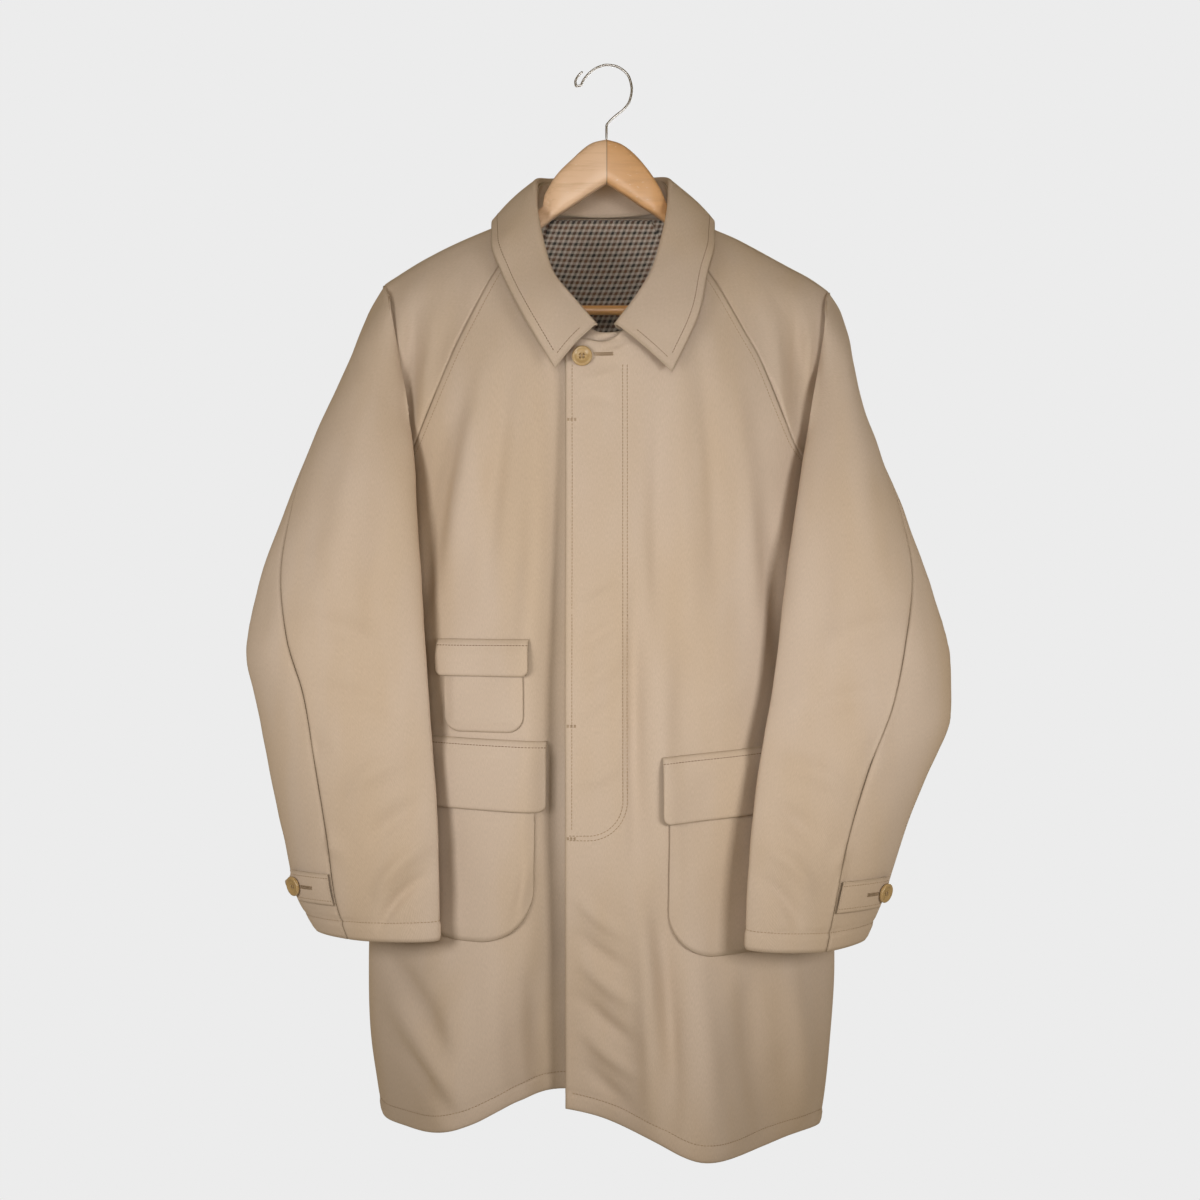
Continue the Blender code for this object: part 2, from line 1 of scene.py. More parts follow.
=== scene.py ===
"""Balmacaan coat on its wooden hanger: cloth, sewing, wood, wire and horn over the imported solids.

Sizes are in millimetres and become metres as each mesh is made. The front faces -Y, the
wearer's left is +X, and the origin is the inside of the hook's top.
"""

import math

import bpy
import numpy as np
from bpy.props import FloatProperty, FloatVectorProperty, PointerProperty
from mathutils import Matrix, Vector


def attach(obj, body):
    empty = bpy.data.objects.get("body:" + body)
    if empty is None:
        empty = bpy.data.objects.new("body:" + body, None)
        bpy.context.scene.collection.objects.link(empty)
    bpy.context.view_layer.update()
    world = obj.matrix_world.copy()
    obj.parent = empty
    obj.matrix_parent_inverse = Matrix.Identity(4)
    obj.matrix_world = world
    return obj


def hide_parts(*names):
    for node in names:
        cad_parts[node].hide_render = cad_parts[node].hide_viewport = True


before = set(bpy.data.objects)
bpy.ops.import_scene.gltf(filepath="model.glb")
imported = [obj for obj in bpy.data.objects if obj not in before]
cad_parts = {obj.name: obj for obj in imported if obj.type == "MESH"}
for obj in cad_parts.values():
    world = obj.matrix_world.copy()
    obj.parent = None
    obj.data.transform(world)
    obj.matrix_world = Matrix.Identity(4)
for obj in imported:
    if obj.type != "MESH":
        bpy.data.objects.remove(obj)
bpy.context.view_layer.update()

bl_info = {
    "name": "Balmacaan coat on a hanger",
    "version": (1, 0, 0),
    "blender": (4, 5, 0),
    "location": "View3D > Sidebar > Coat",
    "description": "Dresses the packed coat with cloth, sewing, buttons and a wooden hanger",
    "category": "Object",
}

MM = 0.001  # metres in a millimetre

# Cloth, its seams and sewing, in millimetres
CLOTH = 1.6  # thickness of the panels
PATCH = 1.4  # thickness of pockets, flaps and tabs
COLLAR_CLOTH = 2.0
LINING_CLOTH = 1.2
LINING_GAP = 0.6  # between the back and its lining
LIFT = 2.0  # gap below a cuff tab
MID_Y = 12.0  # plane between the fronts and the back
SEAM_GAP = 0.75  # left by each panel at a sewn seam
SEAM_LAP = 0.6  # run of a sleeve's raglan edge into the body
HEM_HEIGHT = 16.0
CUFF_HEIGHT = 19.0
SEAM_STITCH = 7.0  # from a raglan seam to its stitches
COLLAR_STITCH = 8.0
FLAP_STITCH = 6.0
TAB_STITCH = 4.0
TAB_HOLE = (19.0, 21.0)  # lengths from a tab's button, either side of its hole's middle
TAB_HOLE_LENGTH = 17.0

# Forms of the cloth
SHOULDER_FADE = 120.0  # drop over which the section closes towards the side seams
SIDE_TURN = 0.97  # share of the half width from which the cloth turns sideways
WITHIN = 0.99999  # keeps side columns just inside the half width
SIDE_FLAT = 0.12  # share beside the side seams over which creases fade
BACK_STRENGTH = 1.6  # of the back's creases
SLEEVE_STRENGTH = 1.5  # of the creases on the sleeves' front halves
LAP_STEP = 5.5  # sink of the right front under the left one
LAP_X, LAP_RUN = -84.0, 40.0  # where it begins, and over what width
LAP_TOP, LAP_DROP, LAP_GROWTH = -330.0, 420.0, 2.4  # where it deepens, over what drop, how many times
EDGE_ROLL, EDGE_FADE = 1.8, 7.0  # rise of the left front's edge, and how soon it fades
FLAT_ARM = 1.35  # power that presses the arms' ovals flat
SHOULDER_FOLD = 5.0  # sink of the saddle beside the shoulder's fold
FOLD_LIFT = 4.0  # height of that fold's edge over the front
ROLL = 6.0  # thickness of the collar's fold
NECK_AXIS = (-4.0, 12.0)  # x and y of the middle of the neck

# Hanger
WIRE = 1.25  # radius
BAR_RADIUS = 5.0
BAR_Z = -249.0
BAR_HALF = 216.0
BAR_END = 5.0  # eased part of each end
YOKE_HALF = 222
YOKE_END = 5
YOKE_COVERED = 66  # reach from which the cloth lies over it
WOOD_UNDER_CLOTH = 4.2

# Buttons and sewing on the left front
NECK_BUTTON = (-24.0, -310.0)
NECK_HOLE = ((-3.5, -2.5), (-308.0, -308.0))
BUTTON_HOLE, HOLE_DEPTH = 1.6, 2.2
BUTTON_PROFILE = (
    # radius, height
    (0.05, 2.7), (2.0, 2.7), (4.5, 2.75), (6.0, 3.2), (7.4, 3.9), (8.6, 4.0),
    (9.6, 3.5), (10.0, 2.6), (9.9, 1.4), (9.2, 0.5), (7.0, 0.1), (0.05, 0.0),
)
PLACKET_TOP, PLACKET_BEND = -318, -745
PLACKET_LINES = ((20, 38), (15.5, 33.5))  # x and corner radius
EDGE_LINE = ((-34, -34), (-318, -775))
BARTACKS, BARTACK_X = (-372, -672, -781), (-39, -29)

# Stage, in metres
LENS, SENSOR = 52.5, 36.0
CAMERA = (-0.0067, -1.8, -0.549)
LIGHTS = (
    # name, place, height aimed at, size, power, spread
    ("left", (-0.80, -0.95, -0.52), -0.62, 0.4, 1.75, 84),
    ("right", (0.80, -0.95, -0.56), -0.62, 0.4, 1.75, 84),
    ("front", (-0.1, -1.65, -0.45), -0.62, 0.4, 3.2, 180),
    ("neck", (0.0, -1.2, -0.05), -0.17, 0.3, 0.09, 28),
    ("back", (0.5, 2.2, -0.2), -0.6, 1.6, 36.0, 180),
)
SKY_COLOUR, SKY_STRENGTH = (1.0, 0.79, 0.46, 1.0), 0.20
FLOOR_Z = -1.9
FLOOR_SIDES = 64
FLOOR_GLOW, GLOW_STRENGTH = (0.80, 0.80, 0.79, 1.0), 0.32

# Shoulder ridge: height of the coat's top line at each x
RIDGE = (
    # x, z
    (-260, -252), (-223, -218), (-187, -197), (-146, -176), (-110, -160), (-80, -148), (-40, -118),
    (-6, -105), (30, -118), (70, -147), (100, -160), (137, -177), (175, -197), (210, -217), (260, -252),
)

# Depth of the cloth before and behind the ridge, by the drop below it
DEPTH = (
    # drop, front, back
    (0, 0, 0), (4, 11, 10), (15, 21, 20), (40, 38, 32), (80, 60, 40), (140, 86, 45), (300, 100, 48),
    (600, 110, 50), (1000, 118, 56),
)

# Half widths of the body, and how far its section is pinched to a lens
SIDES = (
    # z, right, left, lens
    (-1095, 229, 220, 0.30), (-1045, 237, 227, 0.30), (-1004, 243, 231, 0.35), (-921, 246, 236, 0.45),
    (-800, 240, 231, 0.60), (-650, 228, 222, 0.58), (-500, 218, 216, 0.50), (-425, 212, 213, 0.40),
    (-360, 229, 227, 0.35), (-300, 240, 238, 0.35), (-240, 246, 244, 0.35), (-100, 250, 250, 0.30),
)

# Large folds of the fronts and the back: a line, its breadth, its rise, and if it runs out at the hem
FRONT_FOLDS = (
    # x_top, z_top, x_low, z_low, breadth, rise, low_end
    (-150, -820, -161, -1080, 52, 44, 1), (84, -860, 93, -1095, 60, 44, 1),
    (-36, -800, -38, -1050, 66, -30, 1), (-118, -320, -152, -540, 24, 8, 0),
    (-80, -390, -96, -620, 18, -4, 0), (98, -290, 112, -540, 24, 8, 0), (66, -380, 60, -640, 20, -4, 0),
)
BACK_FOLDS = (
    (-120, -760, -128, -1085, 50, 20, 1), (20, -700, 24, -1085, 46, -12, 1),
    (130, -780, 136, -1085, 50, 22, 1), (-70, -300, -96, -620, 34, 6, 0),
    (90, -320, 100, -640, 34, 6, 0),
)

# Raglan seams and the ridge points over them, from the neck to the armpit and shoulder point
RAGLAN = {
    # front_x, front_z, back_x, back_z, ridge_x
    "right": (
        (-79, -166, -76, -152, -80), (-110, -211, -106, -204, -112), (-139, -267, -138, -262, -143),
        (-165, -323, -165, -322, -174), (-194, -388, -194, -388, -204), (-212, -425, -212, -425, -229),
    ),
    "left": (
        (69, -166, 66, -152, 70), (104, -218, 100, -206, 104), (131, -264, 133, -262, 137),
        (156, -310, 160, -322, 170), (190, -388, 192, -388, 202), (213, -425, 213, -425, 229),
    ),
}
ARMPIT = 5  # row at which the raglan seams end

# The fronts' rows down to there: heights at the opening, and how much of the neckline's curve each keeps
EDGE_Z = (-286, -306, -332, -364, -402, -446)
NECK_PULL = (1.0, 0.62, 0.32, 0.12, 0.0, 0.0)

# Necklines of the fronts, from the opening edge to the raglan seam
NECKLINE = {
    # share, x, z
    "right": ((0, 24, -283), (0.32, -14, -282), (0.55, -45, -256), (0.80, -66, -213), (1, -79, -166)),
    "left": ((0, -40, -289), (0.40, 11, -288), (0.60, 40, -254), (0.82, 59, -210), (1, 69, -166)),
}

# Opening edges of the fronts; heights of the cuff tabs, and their reach past the sleeve's outer edge
OPENING_X = {"right": 24, "left": -40}
TAB_Z = {"right": -835, "left": -840}
TAB_REACH = {"right": 17, "left": 13}

# Hems, from the opening edge to the side seam
HEM = {
    # share, z
    "right": (
        (0, -1036), (0.2, -1036), (0.29, -1041), (0.39, -1055), (0.5, -1066), (0.72, -1076),
        (0.85, -1078), (1, -1076),
    ),
    "left": (
        (0, -1050), (0.1, -1057), (0.2, -1067), (0.35, -1086), (0.45, -1088), (0.55, -1087),
        (0.68, -1085), (1, -1088),
    ),
}

# Hem of the back in its middle, and shares of the drop at the rows below the armpit
BACK_HEM_MID = -1066
BODY_ROWS = (0.0, 0.12, 0.25, 0.38, 0.50, 0.62, 0.73, 0.83, 0.92, 1.0)

# Arm tubes: outer and inner edges seen from the front, their depth, and half the thickness
ARM = {
    # z, outer_x, outer_y, inner_x, inner_y, half_depth
    "right": (
        (-236, -240, 10, -222, -7, 10), (-280, -255, 8, -214, -14, 18), (-343, -282, 4, -204, -28, 27),
        (-405, -311, 1, -194, -40, 32), (-446, -326, -2, -191, -46, 34),
        (-508, -347, -5, -187, -53, 35), (-549, -360, -7, -184, -57, 35),
        (-592, -370, -10, -181, -62, 34), (-614, -367, -11, -179, -64, 33),
        (-651, -358, -13, -176, -69, 32), (-712, -346, -17, -170, -76, 30),
        (-773, -332, -20, -165, -82, 28), (-853, -312, -25, -163, -90, 26),
        (-876, -299, -26, -163, -92, 25), (-900, -282, -27, -165, -94, 25),
    ),
    "left": (
        (-236, 240, 10, 224, -7, 10), (-280, 244, 8, 220, -14, 17), (-343, 255, 4, 210, -28, 26),
        (-384, 272, 2, 203, -36, 29), (-426, 291, 0, 195, -44, 32), (-508, 322, -5, 182, -55, 35),
        (-549, 336, -7, 176, -60, 35), (-590, 347, -10, 170, -66, 34), (-634, 355, -12, 163, -71, 33),
        (-656, 353, -13, 160, -74, 32), (-692, 341, -20, 153, -84, 29), (-753, 313, -26, 144, -95, 26),
        (-833, 285, -34, 135, -105, 24), (-900, 257, -38, 133, -110, 23),
    ),
}

# Rows of the sleeve below the shoulder: heights on the overarm and underarm seams, and the underarm's angle
UPPER_ARM_ROWS = (
    # over_z, under_z, under_angle
    (-250, -440, 252), (-280, -458, 246), (-324, -486, 238), (-382, -520, 229), (-450, -560, 221),
    (-520, -605, 214),
)
ARM_ROWS = {
    "right": UPPER_ARM_ROWS
    + (
        (-585, -650, 209), (-645, -692, 206), (-715, -745, 206), (-785, -795, 206), (-845, -842, 206),
        (-884, -880, 206),
    ),
    "left": UPPER_ARM_ROWS
    + (
        (-590, -652, 209), (-650, -696, 206), (-720, -748, 206), (-790, -800, 206), (-852, -846, 206),
        (-893, -884, 206),
    ),
}

# Angle of the seams round the arm: 0 outer edge, 90 front, 180 inner edge
ARM_SEAMS = {
    # z, over
    "right": ((-236, 4), (-300, 12), (-400, 28), (-509, 47), (-600, 70), (-700, 75), (-900, 75)),
    "left": ((-236, 4), (-300, 12), (-400, 28), (-509, 47), (-600, 72), (-700, 83), (-900, 84)),
}

# Collar: the fold line, the outer edge with its lift off the cloth, and the neck seam below
COLLAR = (
    # fold_x, fold_y, fold_z, edge_x, edge_z, lift, face, neck_x, neck_z
    (-11, -92, -278, -51, -322, 13, -1, -15, -277),
    (-34, -72, -248, -83, -266, 12, -1, -45, -252),
    (-56, -49, -214, -105, -220, 11, -1, -66, -209),
    (-70, -18, -158, -117, -184, 10, -1, -76, -172),
    (-74, 14, -114, -116, -155, 0, -1, -79, -145),
    (-56, 50, -104, -92, -160, 9, 1, -52, -146),
    (-6, 62, -101, -6, -172, 10, 1, -6, -147),
    (44, 50, -103, 82, -160, 9, 1, 42, -146),
    (66, 14, -113, 109, -156, 0, -1, 70, -144),
    (62, -18, -154, 110, -184, 10, -1, 67, -172),
    (49, -49, -208, 101, -220, 11, -1, 59, -206),
    (32, -72, -244, 90, -268, 12, -1, 41, -250),
    (9, -92, -278, 64, -325, 13, -1, 14, -283),
)

# Patches on the fronts: inner and outer edges, heights there, corner radius, and if it is a flap
PATCHES = {
    # side, x_in, x_out, top_in, top_out, low, corner, flap
    "ticket_pocket": ("right", -82, -161, -592, -592, -679, 16, 0),
    "ticket_flap": ("right", -76, -168, -588, -588, -624, 7, 1),
    "hip_pocket_right": ("right", -72, -200, -692, -688, -886, 55, 0),
    "hip_flap_right": ("right", -62, -208, -688, -684, -757, 8, 1),
    "hip_pocket_left": ("left", 60, 190, -707, -700, -900, 48, 0),
    "hip_flap_left": ("left", 53, 198, -703, -692, -768, 8, 1),
}

# Hook wire, from the wood up and over to its end
HOOK = (
    # x, z
    (0, -75.5), (0, -62), (3, -57), (10, -50.5), (18, -44), (24, -35), (26, -24), (23.5, -12), (17, -4),
    (8, 0.5), (0, 1.3), (-9, -1.2), (-17, -6.5), (-23.5, -14), (-27, -20), (-31, -20.5), (-32, -16),
    (-29, -10), (-24.5, -5.5),
)

# Hanger yoke: tops of both arms and the underside at each reach, depth of its middle and thickness
YOKE = (
    # reach, top_right, top_left, under, y, thick
    (0, -76, -76, -121, 0, 18), (16, -80, -81, -131, 1, 18), (36, -96, -98, -144, 3, 18),
    (55, -116, -125, -156, 5, 17), (66, -134, -147, -164, 9, 13), (78, -152, -154, -172, 12, 14),
    (112, -165, -168, -190, 12, 15), (146, -181, -186, -208, 12, 15), (187, -202, -208, -230, 12, 14),
    (210, -215, -222, -243.6, 12, 13), (222, -223, -230, -243.6, 12, 11),
)

# Creases on the fronts: a line, how far it bows, its breadth and its rise
FRONT_CREASES = (
    # x_top, z_top, x_low, z_low, bow, breadth, rise
    (-112, -290, -160, -560, 8, 13, 5.0), (-92, -300, -118, -560, 6, 10, -5.0),
    (-140, -330, -190, -600, 4, 11, -6.0), (-66, -330, -78, -640, -4, 13, 4.0),
    (-50, -340, -56, -700, 0, 10, -4.0), (-58, -560, -56, -900, 0, 12, -6.0),
    (88, -270, 108, -560, -6, 11, -5.5), (72, -300, 84, -600, 4, 12, 4.5),
    (120, -300, 150, -600, -6, 13, 5.0), (52, -330, 50, -620, 2, 9, -4.0),
    (150, -420, 176, -640, -4, 12, -6.0), (28, -490, 30, -840, 2, 8, -8.0),
    (54, -510, 58, -880, 2, 14, 6.0), (26, -810, 44, -1075, -6, 11, 8.0),
    (46, -820, 62, -1080, -6, 10, -9.0), (86, -860, 110, -1090, 6, 16, 6.0),
    (-36, -830, 24, -880, 4, 6, 4.2), (-34, -868, 26, -912, 4, 6, -4.5),
    (-30, -895, 30, -945, 4, 7, 5.0), (-34, -930, 34, -985, 4, 7, -5.4),
    (-30, -965, 36, -1015, 4, 7, 5.0), (-28, -1000, 30, -1046, 3, 7, -4.2),
    (-232, -900, -150, -1010, -8, 11, -7.0), (-236, -940, -140, -1050, -8, 12, 7.0),
    (-224, -985, -130, -1072, -6, 10, -5.0), (-112, -880, -96, -1075, 6, 14, 6.0),
    (-80, -880, -70, -1050, -4, 12, -7.0), (140, -900, 156, -1088, 5, 13, -6.0),
    (180, -900, 196, -1088, -5, 14, 6.0), (-26, -288, 14, -284, 2, 3.2, 1.8),
    (-18, -298, 22, -290, -2, 3.2, -1.6), (-6, -308, 26, -296, 2, 3.4, 1.6),
    (-30, -332, 14, -322, 3, 5, 1.8), (-34, -350, 16, -356, -2, 6, -1.5),
    (-34, -560, 14, -530, 3, 6, 4.0), (-34, -600, 16, -560, 3, 6, -4.0),
    (-30, -636, 16, -600, 3, 7, 4.2), (-30, -676, 16, -640, 3, 7, -4.0),
    (-30, -730, 14, -706, 3, 6, 3.6), (70, -650, 140, -640, 4, 9, 2.4),
    (-96, -880, -74, -790, 3, 6, 3.0),
)
BACK_CREASES = (
    (-150, -330, -186, -520, 6, 12, 4.0), (-110, -300, -140, -520, -6, 11, -4.0),
    (150, -330, 186, -520, -6, 12, 4.0), (106, -310, 136, -540, 6, 11, -4.0),
    (-30, -420, -44, -760, 8, 16, 3.0), (48, -460, 40, -800, -8, 15, -3.0),
    (-90, -820, -70, -1080, 6, 14, -5.0), (84, -830, 76, -1080, -6, 14, -5.0),
)

# Creases of the sleeves' front halves, and of both their back halves
SLEEVE_CREASES = {
    "right": (
        (-194, -232, -198, -380, 3, 7, -3.0), (-207, -240, -208, -350, 2, 6, 2.4),
        (-176, -240, -190, -390, -3, 8, 2.4), (-236, -300, -280, -560, -6, 22, 3.5),
        (-214, -430, -236, -640, 5, 16, -3.5), (-210, -600, -320, -566, 6, 12, 2.6),
        (-196, -660, -300, -640, 6, 11, -2.6), (-186, -700, -262, -742, 6, 10, 3.4),
        (-176, -744, -236, -790, 5, 9, -3.8), (-170, -784, -230, -842, 6, 8, 4.0),
        (-168, -812, -226, -874, 7, 6, -4.6), (-270, -690, -330, -720, 5, 12, -2.4),
        (-250, -800, -300, -790, 4, 9, 2.2),
    ),
    "left": (
        (192, -240, 190, -380, -3, 7, -3.4), (205, -250, 200, -350, -2, 6, 2.6),
        (172, -250, 178, -390, 3, 8, 2.6), (238, -300, 268, -560, 6, 22, 3.5),
        (206, -430, 210, -640, -5, 16, -3.5), (200, -600, 312, -566, -6, 12, 2.6),
        (180, -664, 290, -640, -6, 11, -2.6), (164, -704, 240, -742, -6, 10, 3.4),
        (152, -746, 212, -790, -5, 9, -3.8), (146, -784, 204, -836, -6, 8, 3.6),
        (142, -812, 190, -872, -7, 7, -3.6), (250, -690, 312, -712, -5, 12, -2.4),
        (216, -810, 262, -800, -4, 9, 2.2),
    ),
}
BACK_SLEEVE_CREASES = (
    (226, -330, 250, -520, 8, 14, 4.0), (210, -540, 300, -600, -6, 11, 4.0),
    (200, -590, 280, -650, -6, 10, -4.0), (180, -680, 280, -720, -6, 11, 3.5),
    (160, -780, 240, -820, -5, 10, -3.0),
)

# Slow waves that keep the cloth from lying dead flat: wave lengths, turn, phase and height
WAVES = (
    # length, turn, phase, height
    (127, 18, 0.4, 0.55), (91, 12, 1.9, 0.45), (67, 151, 3.1, 0.28), (49, 164, 5.2, 0.20),
    (37, 128, 0.9, 0.12),
)


def through(table, column, at):
    """Smooth curve through one column of a table against its first: a cubic with mean slopes at the rows."""
    rows = np.array(table, float)
    rows = rows[np.argsort(rows[:, 0])]
    x, y = rows[:, 0], rows[:, column]
    step = np.diff(x)
    slope = np.diff(y) / step
    mean = (slope[:-1] * step[1:] + slope[1:] * step[:-1]) / (step[:-1] + step[1:])
    mean = np.where(slope[:-1] * slope[1:] <= 0, 0.0, mean)
    tangent = np.concatenate([slope[:1], mean, slope[-1:]])
    at = np.clip(np.asarray(at, float), x[0], x[-1])
    i = np.clip(np.searchsorted(x, at) - 1, 0, len(step) - 1)
    t = (at - x[i]) / step[i]
    rise = y[i] + t * t * (3 - 2 * t) * (y[i + 1] - y[i])
    return rise + step[i] * t * (1 - t) * ((1 - t) * tangent[i] - t * tangent[i + 1])


def ease(t):
    """Share from 0 to 1 that starts and ends level: three of its squares less two of its cubes."""
    t = np.clip(t, 0, 1)
    return t * t * (3 - 2 * t)


def half_width(x, z):
    """Half the body's width at each height, on the side that x is on."""
    return np.where(np.asarray(x) < 0, through(SIDES, 1, z), through(SIDES, 2, z))


def fold_rise(x, z, folds):
    """Sum of soft ridges and troughs, each a bell across its own slanting line."""
    total = np.zeros(np.broadcast(x, z).shape)
    for x_top, z_top, x_low, z_low, breadth, rise, low_end in folds:
        along = np.clip((z_top - z) / (z_top - z_low), 0, 1)
        across = (x - x_top - (x_low - x_top) * along) / breadth
        strength = ease(along) if low_end else np.sin(np.pi * along) ** 2
        total = total + rise * strength * np.exp(-across * across)
    return total


def body(x, z, face):
    """Outer cloth over the hanger and torso: depth grows with the drop and closes to the side seams."""
    drop = np.clip(through(RIDGE, 1, x) - z, 0, 1000)
    share = np.clip(np.abs(x) / half_width(x, z), 0, 1)
    closing = np.sqrt(1 - share * share)
    lens = through(SIDES, 3, z)
    section = closing * (1 - lens + lens * closing)
    depth_rows = [(math.sqrt(row[0]), row[1], row[2]) for row in DEPTH]
    depth = through(depth_rows, 1 if face < 0 else 2, np.sqrt(drop))
    folds = fold_rise(x, z, FRONT_FOLDS if face < 0 else BACK_FOLDS)
    y = MID_Y + face * (depth * (1 - (1 - section) * ease(drop / SHOULDER_FADE)) + folds * closing)
    return np.stack(np.broadcast_arrays(x, y, z), -1)


def body_normal(x, z, face):
    """Outward direction of the cloth, from small steps across and down it."""
    step = 0.5
    across = body(x + step, z, face) - body(x - step, z, face)
    down = body(x, z + step, face) - body(x, z - step, face)
    return unit(np.cross(across, down)) * (1 if face < 0 else -1)


def unit(v):
    """Vectors of length one, in the same directions."""
    return v / np.maximum(np.linalg.norm(v, axis=-1, keepdims=True), 1e-9)


def grid_normals(grid):
    """Normals of a grid of points from the differences to its neighbours."""
    return unit(np.cross(np.gradient(grid, axis=1), np.gradient(grid, axis=0)))


def creases(x, z, table):
    """Soft troughs and ridges: a bell across each bowed line, fading to nothing at both its ends."""
    total = np.zeros(np.broadcast(x, z).shape)
    for x_top, z_top, x_low, z_low, bow, breadth, rise in table:
        line = np.array([x_low - x_top, z_low - z_top], float)
        length = np.hypot(*line)
        line = line / length
        along = ((x - x_top) * line[0] + (z - z_top) * line[1]) / length
        across = (x - x_top) * line[1] - (z - z_top) * line[0]
        inside = np.clip(along, 0, 1)
        across = across - bow * np.sin(np.pi * inside)
        total = total + rise * np.sin(np.pi * inside) ** 1.2 * np.exp(-((across / breadth) ** 2))
    return total


def waves(x, z):
    """Sum of long low sine waves in several directions over the front view."""
    total = np.zeros(np.broadcast(x, z).shape)
    for length, turn, phase, height in WAVES:
        turn = math.radians(turn)
        run = (x * math.cos(turn) + z * math.sin(turn)) * 2 * math.pi / length
        total = total + height * np.sin(run + phase + 0.6 * np.sin(run * 0.37 + phase))
    return total


def along_rows(values, at):
    """Rows of an array at finer row numbers: a cubic whose slopes never overshoot the rows."""
    values = np.asarray(values, float)
    at = np.asarray(at, float)
    slope = np.diff(values, axis=0)
    product = slope[:-1] * slope[1:]
    total = slope[:-1] + slope[1:]
    mean = np.where(product > 0, 2 * product / np.where(product > 0, total, 1), 0.0)
    tangent = np.concatenate([slope[:1], mean, slope[-1:]])
    i = np.clip(at.astype(int), 0, len(values) - 2)
    t = (at - i).reshape((-1,) + (1,) * (values.ndim - 1))
    rise = values[i] + t * t * (3 - 2 * t) * slope[i]
    return rise + t * (1 - t) * ((1 - t) * tangent[i] - t * tangent[i + 1])


def row_arcs(grid):
    """Length of cloth from the first column to each column, along every row."""
    steps = np.linalg.norm(np.diff(grid, axis=1), axis=2)
    return np.concatenate([np.zeros((len(grid), 1)), np.cumsum(steps, axis=1)], axis=1)


def line_arcs(line):
    """Length from a line's first point to each of its points."""
    return row_arcs(line[None])[0]


def at_lengths(values, arcs, wanted):
    """Points or normals known at some lengths of a line, read at the wanted lengths."""
    return np.stack([np.interp(wanted, arcs, column) for column in values.T], -1)


def at_arcs(grid, wanted):
    """Points of every row at the wanted lengths from its first column."""
    return np.array([at_lengths(*row) for row in zip(grid, row_arcs(grid), wanted)])


def respaced(grid, columns, first_gap=0.0, last_gap=0.0):
    """The grid with evenly spaced columns, closer at both ends, drawn in there by a seam's gap."""
    share = np.linspace(0, 1, columns - 4)
    step = share[1]
    near = step * np.array([0, 0.3, 0.65])
    share = np.concatenate([near, share[1:-1], 1 - near[::-1]])
    whole = row_arcs(grid)[:, -1:]
    return at_arcs(grid, first_gap + (whole - first_gap - last_gap) * share)


def inset_line(grid, distance):
    """Line across all rows at one length of cloth from the first column, or from the last if negative."""
    whole = row_arcs(grid)[:, -1:]
    wanted = np.full_like(whole, distance) if distance >= 0 else whole + distance
    return at_arcs(grid, wanted)[:, 0]


def sunk_seams(grid, normals, ends, depth=0.6, reach=3.0):
    """The grid lowered in a soft groove towards each sewn end column."""
    arcs = row_arcs(grid)
    for wanted, away in ((ends[0], arcs), (ends[1], arcs[:, -1:] - arcs)):
        if wanted:
            grid = grid - normals * (depth * (1 - ease(away / reach)))[..., None]
    return grid


def hem_band(grid, normals, height):
    """The grid with a turned-up hem: a narrow groove above the last row and a slight puff below it."""
    arcs = row_arcs(np.moveaxis(grid, 1, 0)).T
    up = arcs[-1:] - arcs
    wave = 1 + 0.35 * np.sin(row_arcs(grid) / 6.5) + 0.25 * np.sin(row_arcs(grid) / 3.7)
    groove = -1.1 * wave * np.exp(-(((up - height) / 1.6) ** 2))
    puff = 0.8 * ease(up / 4) * ease((height - up) / 4)
    return grid + normals * (groove + puff)[..., None]


def facing(grid, way):
    """Normals of the grid, turned so that together they point the given way."""
    normals = grid_normals(grid)
    return normals if (normals * np.asarray(way)).sum() >= 0 else -normals


def front_plan(side, u):
    """x and z of a front's grid: rows from the neckline to the hem, columns from the opening to the seam."""
    rows_x, rows_z = [], []
    seam = RAGLAN[side]
    neck = NECKLINE[side]
    start = np.array([OPENING_X[side], EDGE_Z[0]])
    line = start + (np.array(seam[0][:2]) - start) * u[:, None]
    pull = np.stack([through(neck, 1, u), through(neck, 2, u)], -1) - line
    for row, edge_z, weight in zip(seam, EDGE_Z, NECK_PULL):
        start = np.array([OPENING_X[side], edge_z])
        plan = start + (np.array(row[:2]) - start) * u[:, None]
        bend = np.sin(np.pi / 2 * u) - u if weight == 0 else 0 * u
        plan = plan + weight * pull
        rows_x.append(plan[:, 0] + bend * (row[0] - OPENING_X[side]) * 0.5)
        rows_z.append(plan[:, 1])
    top_z = rows_z[-1]
    hem_z = through(HEM[side], 1, u)
    for share in BODY_ROWS[1:]:
        z = top_z + (hem_z - top_z) * share
        half = np.sign(seam[0][0]) * half_width(np.full_like(z, seam[0][0]), z)
        first = np.arcsin(OPENING_X[side] / half)
        rows_x.append(half * np.sin(first + (np.pi / 2 - first) * u))
        rows_z.append(z)
    return np.array(rows_x), np.array(rows_z)


